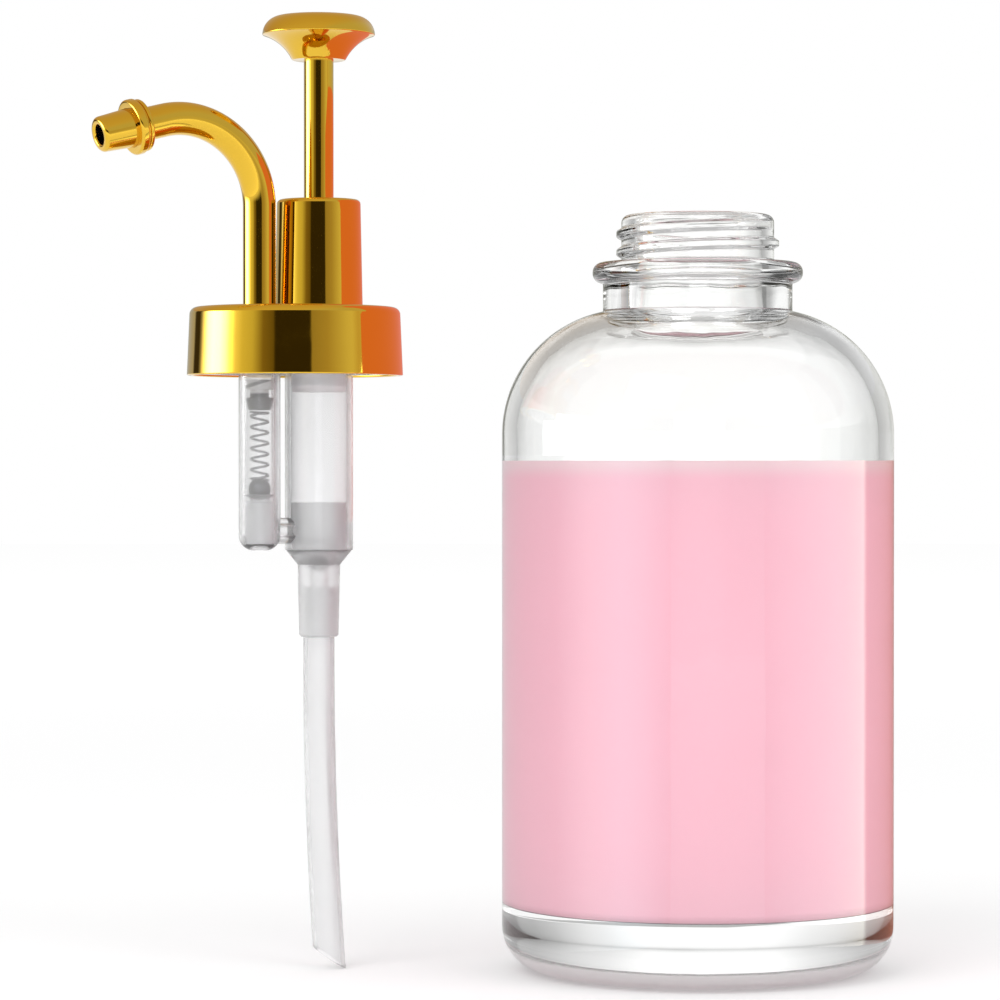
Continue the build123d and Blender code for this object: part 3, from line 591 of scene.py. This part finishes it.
def bottleOutline(b, steps):
    inner, count = b["radius"] - b["wall"], steps["pushUp"]
    outline = [(b["ringInner"] * k / count, b["pushUp"] * (1 - (k / count) ** 2)) for k in range(count)]
    outline += [(b["ringInner"], 0), (b["ringOuter"], 0)]
    outline += arcRun((b["ringOuter"], b["heel"]), b["heel"], -90, 0, steps["heel"])[1:]
    outline += wallRun(b["radius"], b["heel"], b["shoulderZ"], steps["wall"])
    shoulder = (b["shoulderCentre"], b["shoulderZ"])
    outline += arcRun(shoulder, b["shoulderR"], 0, b["shoulderTurn"], steps["shoulder"])
    outline += rounded([
        (b["leadR"], b["leadZ"], 0), (b["bandR"], b["bandZ"], b["bandRound"]),
        (b["bandR"], b["beadZ"], b["beadFoot"]), (b["beadR"], b["beadZ"], b["beadRound"]),
        (b["beadR"], b["finishZ"], b["beadRound"]), (b["finishR"], b["finishZ"], b["finishFoot"]),
        (b["finishR"], b["top"], b["lipOuter"]), (b["mouthR"], b["top"], b["lipInner"]),
        (b["mouthR"], b["throatTop"], 0),
    ], steps["finish"])[1:-1]                    # the first and last corners only give directions
    outline += wallRun(b["mouthR"], outline[-1][1], b["throatZ"], steps["mouth"])
    outline += arcRun((b["shoulderCentre"], b["throatZ"]), b["throatRound"], 180, 270, steps["throat"])
    outline += arcRun(shoulder, b["shoulderR"] - b["wall"], 90, 0, steps["innerShoulder"])[1:]
    heelR, heelZ, count = inner - b["innerHeel"], b["floor"] + b["innerHeel"], steps["floor"]
    outline += wallRun(inner, b["shoulderZ"], heelZ, steps["innerWall"])
    outline += arcRun((heelR, heelZ), b["innerHeel"], 0, -90, steps["innerHeel"])
    outline += [(heelR * (1 - k / count), b["floor"]) for k in range(1, count + 1)]
    return outline


def fineWall(outline, rows, radius):             # closer rows where the thread is raised
    fine = []
    for one, two in zip(outline, outline[1:] + outline[:1]):
        fine.append(one)
        onWall = abs(one[0] - radius) < rows["near"] and abs(two[0] - radius) < rows["near"]
        if onWall and rows["low"] < one[1] < rows["high"]:
            fine += wallRun(radius, one[1], two[1], ceil(abs(two[1] - one[1]) / rows["step"]))
    return fine


def glassRipple(radius, height, angle):
    if radius > ripple["within"] or height < ripple["above"]:
        return 0.0
    spot = Vector((cos(angle) * ripple["around"], sin(angle) * ripple["around"], height * ripple["along"]))
    near = max(0.0, 1 - abs(height - ripple["middle"]) / ripple["reach"])
    return noise.noise(spot) * (ripple["least"] + ripple["most"] * near)


def threadTree():
    group = bpy.data.node_groups.new("neckThread", "GeometryNodeTree")
    face = group.interface
    face.new_socket("Geometry", in_out="INPUT", socket_type="NodeSocketGeometry")
    for name, value in thread.items():
        face.new_socket(name, in_out="INPUT", socket_type="NodeSocketFloat").default_value = value
    face.new_socket("Axis", in_out="INPUT", socket_type="NodeSocketVector")
    face.new_socket("Finish", in_out="INPUT", socket_type="NodeSocketMaterial")
    face.new_socket("Geometry", in_out="OUTPUT", socket_type="NodeSocketGeometry")
    net = Net(group)
    given = net.node("NodeGroupInput")
    size = {name: given.also(name) for name in thread}
    x, y, z = net.split(net.vector("SUBTRACT", net.node("GeometryNodeInputPosition"), given.also("Axis")))
    z = z / mm
    radius = net.maths("SQRT", x * x + y * y) / mm
    turn = (net.maths("ARCTAN2", y, x) - net.maths("RADIANS", size["Top Angle"])) / (2 * pi)
    phase = (z - size["Top Height"]) / size["Pitch"] - turn
    off = phase - net.maths("ROUND", phase)
    below = (size["Top Height"] - z) / size["Pitch"] + off
    side = net.maths("ABSOLUTE", off) * size["Pitch"] * 2
    ridge = net.spread(side, size["Crest Width"], size["Root Width"], 1.0, 0.0)
    starts = net.spread(below, 0.0 - size["Fade"], size["Fade"])
    ends = net.spread(below, size["Turns"] - size["Fade"], size["Turns"] + size["Fade"], 1.0, 0.0)
    fromWall = net.maths("ABSOLUTE", radius - size["Wall Radius"])
    onWall = net.maths("LESS_THAN", fromWall, size["Wall Tolerance"])
    rise = ridge * starts * ends * onWall * size["Depth"] * mm
    outward = net.vector("NORMALIZE", net.node("ShaderNodeCombineXYZ", sockets={"X": x, "Y": y}))
    move = net.vector("SCALE", outward, Scale=rise)
    moved = net.node("GeometryNodeSetPosition", sockets={"Geometry": given.also("Geometry"), "Offset": move})
    real = net.node("GeometryNodeRealizeInstances", sockets={"Geometry": moved})
    done = net.node("GeometryNodeSetMaterial", sockets={"Geometry": real, "Material": given.also("Finish")})
    net.node("NodeGroupOutput", sockets={"Geometry": done})
    return group


def runTree(piece, group, values):               # runs a tree on a piece and keeps the plain mesh
    modifier = piece.modifiers.new(group.name, "NODES")
    modifier.node_group = group
    for item in group.interface.items_tree:
        if item.in_out == "INPUT" and item.name in values:
            modifier[item.identifier] = values[item.name]
    evaluated = piece.evaluated_get(bpy.context.evaluated_depsgraph_get())
    mesh = bpy.data.meshes.new_from_object(evaluated)
    piece.modifiers.clear()
    piece.data = mesh
    mesh.name = piece.name
    return piece


def makeBottle():
    outline = fineWall(bottleOutline(bottle, bottleSteps), threadRows, bottle["finishR"])
    finish = finishes["clear_glass"]
    piece = turned("bottleShell", outline, upright(bottleAxis), finish, bottle["around"], glassRipple)
    runTree(piece, threadTree(), dict(thread, Axis=bottleAxis * mm, Finish=finish))
    settle(piece, "glass_bottle", "bottle")


makeBottle()

# Syrup, with a meniscus where it climbs the glass
pour = {
    "radius": 36.56, "floor": 13.44, "heel": 1.8, "level": 102.4,
    "climb": 0.55, "edge": 0.08, "step": 0.35, "fade": 2.718 ** -0.75, "flat": 0.9,
    "floorSteps": 9, "heelSteps": 18, "wallSteps": 24, "skinSteps": 8, "around": 160,
}


def makeSyrupFill(p):
    heelR, heelZ = p["radius"] - p["heel"], p["floor"] + p["heel"]
    outline = [(heelR * k / p["floorSteps"], p["floor"]) for k in range(p["floorSteps"])]
    outline += arcRun((heelR, heelZ), p["heel"], -90, 0, p["heelSteps"])
    outline += wallRun(p["radius"], heelZ, p["level"], p["wallSteps"])
    outline += [(p["radius"], p["level"] + p["climb"])]
    count = p["skinSteps"]
    for k in range(count):
        climb = p["climb"] * p["fade"] ** k
        outline.append((p["radius"] - p["edge"] - p["step"] * k, p["level"] + climb))
    outline += [(p["radius"] * (1 - k / count) * p["flat"], p["level"]) for k in range(count + 1)]
    piece = turned("syrupPour", outline, upright(bottleAxis), finishes["syrup"], p["around"])
    settle(piece, "syrup_fill", "bottle")


makeSyrupFill(pour)
print("bottle and syrup made")

# Cap shell: drawn metal with a rolled top edge and a turned-in hem
cap = {
    "low": 120.1, "top": 133.9, "lowR": 21.8, "topR": 21.2, "wall": 1.0, "topWall": 1.55,
    "roll": 1.5, "hem": 0.28, "deckR": 15.5, "deckEdge": 0.18, "seatZ": 133.15, "opening": 14.7,
    "innerRound": 0.3, "steps": 10, "around": 192,
}


def makeCap(c):
    lean = (c["lowR"] - c["topR"]) / (c["top"] - c["low"])
    under = c["top"] - c["topWall"]
    outline = rounded([
        (c["lowR"], c["low"], c["hem"]), (c["topR"], c["top"], c["roll"]),
        (c["deckR"], c["top"], c["deckEdge"]), (c["deckR"], c["seatZ"], 0),
        (c["opening"], c["seatZ"], 0), (c["opening"], under, 0),
        (c["topR"] - c["wall"] + lean * c["topWall"], under, c["innerRound"]),
        (c["lowR"] - c["wall"], c["low"], c["hem"]),
    ], c["steps"])
    goldPiece("capShell", outline, upright(capAxis), c["around"], "closure_cap", "cap")


# Barrel with a rounded crown and a small lip round the rod
barrel = {
    "low": 133.9, "top": 155.8, "lowR": 8.9, "topR": 8.45, "bore": 7.2,
    "crown": 0.9, "topWall": 1.2, "rodHole": 3.35, "hem": 0.15, "lip": 0.2, "steps": 8, "around": 144,
}


def makeBarrel(b):
    under = b["top"] - b["topWall"]
    outline = rounded([
        (b["bore"], b["low"], 0), (b["lowR"], b["low"], b["hem"]),
        (b["topR"], b["top"], b["crown"]), (b["rodHole"], b["top"], b["lip"]),
        (b["rodHole"], under, 0), (b["bore"], under, 0),
    ], b["steps"])
    goldPiece("barrelSleeve", outline, upright(chamberAxis), b["around"], "guide_barrel", "pump")


# Rod, with a groove near its foot
rod = {
    "low": 118.35, "top": 190.3, "radius": 3.0, "neckLow": 119.35, "neckTop": 120.35, "neckR": 2.5,
    "foot": 0.2, "neckEdge": 0.1, "tip": 0.4, "steps": 5, "around": 96,
}


def makeRod(r):
    outline = rounded([
        (0, r["low"], 0), (r["radius"], r["low"], r["foot"]),
        (r["radius"], r["neckLow"], r["neckEdge"]), (r["neckR"], r["neckLow"], 0),
        (r["neckR"], r["neckTop"], 0), (r["radius"], r["neckTop"], r["neckEdge"]),
        (r["radius"], r["top"], r["tip"]), (0, r["top"], 0),
    ], r["steps"])
    goldPiece("rodShaft", outline, upright(chamberAxis), r["around"], "plunger_rod", "knob")


# Knob: trumpet flare below, domed crown above. Turns are start and stop in degrees, and steps
knob = {
    "low": 184.0, "rimZ": 189.1, "top": 192.9, "bore": 3.02, "boreTop": 190.4,
    "skirtR": 5.4, "hem": [(0.2, 0), (0.05, 0.06)], "flareR": 9.68, "flareSteps": 20,
    "rimR": 11.4, "rimRound": 0.25, "rimLift": 0.18, "rimTurn": (-60, 0, 4),
    "crown": 3.8, "crownTurn": (3, 84, 16),
    "dome": [(7.0, 192.86), (5.0, 192.89), (2.5, 192.9), (0, 192.9)], "around": 144,
}


def makeKnob(k):
    low, high = Vector((k["skirtR"], k["low"])), Vector((k["rimR"], k["rimZ"]))
    chord = high - low
    offset = (k["flareR"] ** 2 - (chord.length / 2) ** 2) ** 0.5
    centre = (low + high) / 2 + Vector((chord.y, -chord.x)).normalized() * offset
    start = degrees(atan2(low.y - centre.y, low.x - centre.x))
    stop = degrees(atan2(high.y - centre.y, high.x - centre.x))
    outline = [(k["bore"], k["low"])]
    outline += [(k["skirtR"] - inset, k["low"] + lift) for inset, lift in k["hem"]]
    outline += arcRun(tuple(centre), k["flareR"], start, stop, k["flareSteps"])[1:-1]
    rim = (k["rimR"] - k["rimRound"], k["rimZ"] + k["rimLift"])
    outline += arcRun(rim, k["rimRound"], *k["rimTurn"])
    crown = (k["rimR"] - k["crown"], k["top"] - k["crown"])
    outline += arcRun(crown, k["crown"], *k["crownTurn"])
    outline += k["dome"] + [(0, k["boreTop"]), (k["bore"], k["boreTop"])]
    goldPiece("knobHead", outline, upright(chamberAxis), k["around"], "press_knob", "knob")


makeCap(cap)
makeBarrel(barrel)
makeRod(rod)
makeKnob(knob)

# Spout: a swan neck, measured along its own line from the end of the bend
spout = {
    "foot": 129.4, "bendZ": 153.9, "bendR": 17.0, "bend": 104.0, "tail": 8.9, "radius": 3.3, "bore": 2.5,
    "footRow": 0.3, "tailRow": 0.2, "steps": 64, "around": 96,
}


def spoutStation(along):
    bend = radians(spout["bend"])
    length = spout["bendR"] * bend
    turn = min(max((along + length) / spout["bendR"], 0.0), bend)
    spare = min(along + length, 0.0) if along < 0 else along        # what lies before or after the bend
    ahead = up * cos(turn) - headX * sin(turn)
    across = headX * cos(turn) + up * sin(turn)
    corner = outletAxis + up * spout["bendZ"] - headX * spout["bendR"]
    return corner + across * spout["bendR"] + ahead * spare, across, headY, ahead


def makeSpout():
    start = -spout["bendR"] * radians(spout["bend"])
    foot = start - (spout["bendZ"] - spout["foot"])
    rows = [foot, foot + spout["footRow"], start]
    rows += [start * (1 - k / spout["steps"]) for k in range(1, spout["steps"] + 1)]
    rows += [spout["tail"] - spout["tailRow"], spout["tail"]]
    outline = [(spout["radius"], t) for t in rows] + [(spout["bore"], t) for t in reversed(rows)]
    goldPiece("spoutNeck", outline, spoutStation, spout["around"], "spout_tube", "pump")


collar = {
    "start": 4.6, "grooveStart": 5.4, "ringStart": 5.8, "end": 7.6,
    "lipR": 5.2, "grooveR": 4.8, "ringR": 5.55, "tubeR": 3.32, "nozzleR": 3.92,
    "mouth": 0.05, "ringFront": 0.55, "ringBack": 0.45, "groove": 0.1, "lipFront": 0.25, "lipBack": 0.3,
    "around": 128,
}


def makeCollar(c):
    outline = rounded([
        (c["tubeR"], c["start"], 0), (c["tubeR"], c["grooveStart"], 0),
        (c["nozzleR"], c["grooveStart"], 0), (c["nozzleR"], c["end"], c["mouth"]),
        (c["ringR"], c["end"], c["ringFront"]),
        (c["ringR"], c["ringStart"], c["ringBack"]),
        (c["grooveR"], c["ringStart"], c["groove"]),
        (c["grooveR"], c["grooveStart"], c["groove"]),
        (c["lipR"], c["grooveStart"], c["lipFront"]),
        (c["lipR"], c["start"], c["lipBack"]),
    ])
    goldPiece("spoutRing", outline, spoutStation, c["around"], "spout_collar", "pump")


nozzle = {
    "start": 5.45, "seat": 9.0, "collarEnd": 7.6, "reach": 14.5,
    "radius": 3.9, "tipR": 3.5, "tubeR": 3.32, "bore": 2.0,
    "mouth": 0.45, "tip": 0.8, "steps": 8, "around": 96,
}


def makeNozzle(n):
    outline = rounded([
        (n["tubeR"], n["start"], 0), (n["tubeR"], n["seat"], 0),
        (n["bore"], n["seat"], 0), (n["bore"], n["reach"], n["mouth"]),
        (n["tipR"], n["reach"], n["tip"]), (n["radius"], n["collarEnd"], 0),
        (n["radius"], n["start"], 0),
    ], n["steps"])
    goldPiece("nozzleEnd", outline, spoutStation, n["around"], "nozzle_tip", "pump")


makeSpout()
makeCollar(collar)
makeNozzle(nozzle)
print("gold pieces made")


# Springs: one tree winds both, with closed end turns
winding = {"rows": 32, "around": 12, "closePitch": 2.1}          # the pitch is in radii of the wire


def springTree():
    group = bpy.data.node_groups.new("woundSpring", "GeometryNodeTree")
    face = group.interface
    names = ("Turns", "Mean Radius", "Wire Radius", "Height", "End Turns")
    face.new_socket("Geometry", in_out="INPUT", socket_type="NodeSocketGeometry")
    for name in names:
        face.new_socket(name, in_out="INPUT", socket_type="NodeSocketFloat")
    face.new_socket("Foot", in_out="INPUT", socket_type="NodeSocketVector")
    face.new_socket("Finish", in_out="INPUT", socket_type="NodeSocketMaterial")
    face.new_socket("Geometry", in_out="OUTPUT", socket_type="NodeSocketGeometry")
    net = Net(group)
    given = net.node("NodeGroupInput")
    size = {name: given.also(name) for name in names}
    coil = net.node("GeometryNodeCurveSpiral", sockets={
        "Resolution": winding["rows"], "Rotations": size["Turns"], "Height": size["Height"],
        "Start Radius": size["Mean Radius"], "End Radius": size["Mean Radius"], "Reverse": True,
    })
    x, y, z = net.split(net.node("GeometryNodeInputPosition"))
    turn = z / size["Height"] * size["Turns"]
    close = size["Wire Radius"] * winding["closePitch"]
    first = net.maths("MINIMUM", turn, size["End Turns"])
    last = net.maths("MAXIMUM", turn - (size["Turns"] - size["End Turns"]), 0.0)
    middle = net.spread(turn, size["End Turns"], size["Turns"] - size["End Turns"], 0.0, 1.0, "LINEAR")
    rise = (first + last) * close + middle * (size["Height"] - size["End Turns"] * close * 2)
    wound = net.node("GeometryNodeSetPosition", sockets={
        "Geometry": coil,
        "Position": net.node("ShaderNodeCombineXYZ", sockets={"X": x, "Y": y, "Z": rise}),
    })
    wire = net.node("GeometryNodeCurvePrimitiveCircle", {"mode": "RADIUS"}, {
        "Resolution": winding["around"], "Radius": size["Wire Radius"],
    })
    solid = net.node("GeometryNodeCurveToMesh", sockets={
        "Curve": wound, "Profile Curve": wire, "Fill Caps": True,
    })
    placed = net.node("GeometryNodeTransform", sockets={"Geometry": solid, "Translation": given.also("Foot")})
    smooth = net.node("GeometryNodeSetShadeSmooth", sockets={"Geometry": placed})
    real = net.node("GeometryNodeRealizeInstances", sockets={"Geometry": smooth})
    done = net.node("GeometryNodeSetMaterial", sockets={"Geometry": real, "Material": given.also("Finish")})
    net.node("NodeGroupOutput", sockets={"Geometry": done})
    return group


springs = {
    "outlet_spring": {
        "piece": "fineCoil", "axis": outletAxis, "low": 99.05, "high": 112.75,
        "mean": 1.75, "wire": 0.5, "turns": 7.5, "ends": 0.75,
    },
    "return_spring": {
        "piece": "liftCoil", "axis": chamberAxis, "low": 124.5, "high": 150.5,
        "mean": 4.75, "wire": 0.8, "turns": 9.0, "ends": 1.0,
    },
}


def makeSpring(node, group):
    wound = springs[node]
    piece = bpy.data.objects.new(wound["piece"], bpy.data.meshes.new(wound["piece"]))
    bpy.context.scene.collection.objects.link(piece)
    runTree(piece, group, {
        "Turns": wound["turns"], "Mean Radius": wound["mean"] * mm, "Wire Radius": wound["wire"] / 2 * mm,
        "Height": (wound["high"] - wound["low"]) * mm, "End Turns": wound["ends"],
        "Foot": (wound["axis"] + up * wound["low"]) * mm, "Finish": finishes["spring_steel"],
    })
    return settle(piece, node, "pump")


coilTree = springTree()
fineCoil = makeSpring("outlet_spring", coilTree)
liftCoil = makeSpring("return_spring", coilTree)
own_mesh(fineCoil)
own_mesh(liftCoil)
print("springs wound")

# Studio: pale floor, white surroundings, soft lamps, and cards that only reflections or only glass see
studio = {
    "light": 0.9, "floorSize": 4.0, "floorZ": -2e-5, "floorTone": 0.62,
    "nearGlow": 0.28, "farGlow": 0.42, "fadeFrom": 0.3, "fadeTo": 1.6,
}


def seenRay(net):                                # 1 for camera, glossy and transmission rays
    path = net.node("ShaderNodeLightPath", out="Is Camera Ray")
    return net.maths("MINIMUM", path + path.also("Is Glossy Ray") + path.also("Is Transmission Ray"), 1.0)


def makeWorld():
    world = bpy.data.worlds.new("whiteRoom")
    bpy.context.scene.world = world
    world.use_nodes = True
    world.node_tree.nodes.clear()
    net = Net(world.node_tree)
    glow = net.node("ShaderNodeBackground", sockets={
        "Color": grey(1), "Strength": seenRay(net) * (1 - studio["light"]) + studio["light"],
    })
    net.node("ShaderNodeOutputWorld", sockets={"Surface": glow})


def makeFloor():
    size = studio["floorSize"]
    corners = [(-size, -size), (size, -size), (size, size), (-size, size)]
    mesh = bpy.data.meshes.new("paleFloor")
    mesh.from_pydata([(x, y, studio["floorZ"]) for x, y in corners], [], [(0, 1, 2, 3)])
    material, net = newFinish("paleFloor")
    matte = net.node("ShaderNodeBsdfDiffuse", sockets={"Color": grey(studio["floorTone"])})
    away = net.vector("LENGTH", net.spot(), out="Value")
    reach = net.spread(away, studio["fadeFrom"], studio["fadeTo"], studio["nearGlow"], studio["farGlow"])
    glow = net.glow(grey(1), seenRay(net) * reach)
    net.output(net.node("ShaderNodeAddShader", sockets={0: matte, 1: glow}))
    mesh.materials.append(material)
    floor = bpy.data.objects.new("paleFloor", mesh)
    bpy.context.scene.collection.objects.link(floor)


def addStage(name, verts, faces, material, ray):
    mesh = bpy.data.meshes.new(name)
    mesh.from_pydata(verts, [], faces)
    mesh.materials.append(material)
    piece = bpy.data.objects.new(name, mesh)
    bpy.context.scene.collection.objects.link(piece)
    for kind in ("camera", "diffuse", "glossy", "transmission", "volume_scatter", "shadow"):
        setattr(piece, "visible_" + kind, kind == ray)


def toneRamp(net, value, look):                  # tone and level along a value, scaled by the look's peak
    low, high = look["span"]
    stops = [
        ((spot - low) / (high - low), (*[channel * level / look["peak"] for channel in tone], 1))
        for spot, tone, level in look["stops"]
    ]
    return net.node("ShaderNodeValToRGB", {"stops": stops}, {"Fac": (value - low) / (high - low)})


def bandFinish(band):                            # by the angle round the band's centre, in degrees
    material, net = newFinish(band["name"])
    x, y, z = net.split(net.spot())
    centreX, centreY = band["centre"]
    angle = net.maths("ARCTAN2", x - centreX, centreY - y) * (180 / pi)
    tone = toneRamp(net, angle, band)
    if "foot" in band:                           # white at the floor
        tone = net.blend(net.spread(z, 0.0, band["foot"]), grey(1 / band["peak"]), tone)
    if "header" in band:                         # one level above a height
        fromZ, toZ, level = band["header"]
        tone = net.blend(net.spread(z, fromZ, toZ), tone, grey(level))
    net.output(net.glow(tone, band["peak"]))
    return material


def bandMesh(band, start, stop, steps=96):       # an upright strip round the band's centre
    centreX, centreY = band["centre"]
    verts, faces = [], []
    for k in range(steps + 1):
        a = radians(start + (stop - start) * k / steps)
        x, y = centreX + band["radius"] * sin(a), centreY - band["radius"] * cos(a)
        verts += [(x, y, band["low"]), (x, y, band["high"])]
        if k:
            faces.append((2 * k - 2, 2 * k - 1, 2 * k + 1, 2 * k))
    return verts, faces


# What the gold mirrors: degrees from the camera's side towards the right, tone, level
white, cream, straw, amber, umber = (1, 1, 1), (1, 1, 0.9), (1, 0.98, 0.65), (1, 0.87, 0.65), (1, 0.78, 0.35)
reflections = {
    "name": "reflectionBand", "centre": (stand["pumpX"] * mm, 0.0), "radius": 1.3, "low": -1e-5, "high": 0.42,
    "foot": 0.16, "peak": 14.0, "span": (-180, 180),
    "stops": [
        (-180, cream, 0.46), (-137, cream, 0.46), (-133, umber, 0.045), (-122, umber, 0.045),
        (-118, cream, 0.35), (-111, white, 2.0), (-104, white, 9.0), (-95, white, 14.0), (-85, white, 14.0),
        (-77, white, 9.0), (-71, white, 3.0), (-64, cream, 1.2), (-55, straw, 0.85), (-43, straw, 0.70),
        (-31, umber, 0.25), (-20, umber, 0.16), (-18, umber, 0.035), (19.5, umber, 0.035),
        (21, amber, 0.38), (38, amber, 0.48), (61, cream, 0.74), (67, cream, 0.78), (75, amber, 0.66),
        (83, cream, 0.70), (180, cream, 0.46),
    ],
}


def bothSides(levels):                           # white at these angles to the left and to the right
    right = [(angle, white, level) for angle, level in levels]
    return [(-angle, tone, level) for angle, tone, level in reversed(right)] + right


# What the glass shows at its edges: white behind it, darker towards the sides and above
boards = {
    "name": "glassBoards", "centre": (stand["bottleX"] * mm, 0.0), "radius": 1.2, "low": -1e-5, "high": 1.4,
    "peak": 1.08, "from": 92, "span": (-180, 180), "header": (0.35, 0.6, 0.45),
    "stops": bothSides([
        (121, 0.24), (124, 0.42), (135, 0.46), (143, 0.56), (150, 0.68), (160, 0.86), (168, 1.08),
    ]),
}
# A grey sheet on the floor behind, which the upper slopes of the neck's ridges look at
sheet = {
    "name": "greySheet", "corners": [(0.0, 0.2), (0.35, 0.2), (0.35, 1.1), (0.0, 1.1)], "z": -1e-5,
    "level": 0.45,
}


def makeBands():
    addStage(reflections["name"], *bandMesh(reflections, -180, 180), bandFinish(reflections), "glossy")
    finish = bandFinish(boards)
    for name, side in (("leftBoards", -1), ("rightBoards", 1)):
        addStage(name, *bandMesh(boards, side * boards["from"], side * 180), finish, "transmission")
    material, net = newFinish(sheet["name"])
    net.output(net.glow(grey(1), sheet["level"]))
    verts = [(x, y, sheet["z"]) for x, y in sheet["corners"]]
    addStage(sheet["name"], verts, [(0, 1, 2, 3)], material, "transmission")


# Upright cards beside the pieces, each seen from one side only: outline as (y, z), tone and level along y
rose, salmon, cool, dusk = (0.85, 0.265, 0.22), (0.9, 0.30, 0.17), (0.8, 0.92, 1), (0.9, 0.65, 0.58)
cards = [
    {
        "name": "orangeCard", "x": -0.008, "faces": -1, "peak": 1.0, "span": (0, 1),
        "stops": [(0, rose, 1.0), (1, rose, 1.0)],
        "outline": [
            (-0.020, 0.09), (-0.020, 0.134), (-0.0155, 0.136), (-0.0155, 0.156), (-0.019, 0.16),
            (-0.019, 0.171), (-0.004, 0.181), (0.16, 0.181), (0.16, 0.09),
        ],
    },
    {
        "name": "leftCard", "x": -0.003, "faces": 1, "peak": 3.5, "span": (-0.15, 0.2),
        "stops": [
            (-0.15, white, 0.35), (-0.1, cool, 1.5), (-0.06, cool, 3.2), (-0.04, white, 2.4),
            (-0.026, white, 0.8), (0.2, white, 0.4),
        ],
        "outline": [(-0.15, 0.0), (-0.15, 0.104), (0.2, 0.104), (0.2, 0.0)],
    },
    {
        "name": "rightCard", "x": 0.09, "faces": -1, "peak": 4.4, "span": (-0.09, 0.2),
        "stops": [
            (-0.09, white, 0.35), (-0.07, white, 1.2), (-0.052, white, 2.0), (-0.032, (1, 0.97, 0.93), 3.4),
            (-0.0168, (1, 0.93, 0.8), 4.2), (-0.0160, salmon, 1.0), (0.01, salmon, 0.7), (0.05, dusk, 0.4),
            (0.2, dusk, 0.35),
        ],
        "outline": [(-0.09, 0.003), (-0.09, 0.103), (0.2, 0.103), (0.2, 0.003)],
    },
]


def makeCard(card):
    material, net = newFinish(card["name"])
    light = net.glow(toneRamp(net, net.split(net.spot())[1], card), card["peak"])
    behind = net.node("ShaderNodeNewGeometry", out="Backfacing")
    clear = net.node("ShaderNodeBsdfTransparent")
    net.output(net.node("ShaderNodeMixShader", sockets={0: behind, 1: light, 2: clear}))
    verts = [(card["x"], y, z) for y, z in card["outline"]]
    face = list(range(len(verts)))
    if card["faces"] > 0:                        # the outlines run clockwise seen from the right
        face.reverse()
    addStage(card["name"], verts, [face], material, "glossy")


# The ceiling: warm over the pump and darker towards the back, plain over the bottle
ceiling = {
    "name": "warmCeiling", "radius": reflections["radius"] + 0.05, "height": reflections["high"],
    "around": 48, "peak": 1.0, "span": (-1.3, 1.3), "plain": 0.62, "plainFrom": 0.04, "plainTo": 0.3,
    "stops": [
        (-1.3, (1, 0.86, 0.62), 0.78), (-0.3, (1, 0.86, 0.62), 0.70), (0.2, (1, 0.78, 0.48), 0.60),
        (1.3, (1, 0.7, 0.4), 0.48),
    ],
}


def makeCeiling():
    steps, radius = ceiling["around"], ceiling["radius"]
    angles = [2 * pi * k / steps for k in range(steps)]
    verts = [(radius * cos(a), radius * sin(a), ceiling["height"]) for a in angles]
    material, net = newFinish(ceiling["name"])
    x, y, z = net.split(net.spot())
    plain = net.spread(x, ceiling["plainFrom"], ceiling["plainTo"])
    tone = net.blend(plain, toneRamp(net, y, ceiling), grey(ceiling["plain"]))
    net.output(net.glow(tone, ceiling["peak"]))
    addStage(ceiling["name"], verts, [tuple(range(steps))], material, "glossy")


lampAim = Vector((0, 0, 0.09))
lamps = [
    {"name": "keyLamp", "at": (-0.9, -1.3, 1.5), "size": 1.2, "watts": 16.0},
    {"name": "fillLamp", "at": (1.2, -0.9, 0.9), "size": 1.2, "watts": 9.0},
    {"name": "lowLamp", "at": (0.0, -1.7, 0.3), "size": 0.9, "watts": 4.5},
]


def makeLamp(lamp):
    light = bpy.data.lights.new(lamp["name"], "AREA")
    light.energy, light.size = lamp["watts"], lamp["size"]
    piece = bpy.data.objects.new(lamp["name"], light)
    piece.location = lamp["at"]
    piece.rotation_euler = (lampAim - Vector(lamp["at"])).to_track_quat("-Z", "Y").to_euler()
    piece.visible_glossy = False
    bpy.context.scene.collection.objects.link(piece)


makeWorld()
makeFloor()
makeBands()
for card in cards:
    makeCard(card)
makeCeiling()
for lamp in lamps:
    makeLamp(lamp)
bpy.context.scene.view_settings.view_transform = "Standard"
cycles = bpy.context.scene.cycles                # light between glass and syrup needs more bounces
cycles.max_bounces, cycles.diffuse_bounces, cycles.transmission_bounces = 20, 10, 16
print("studio set")
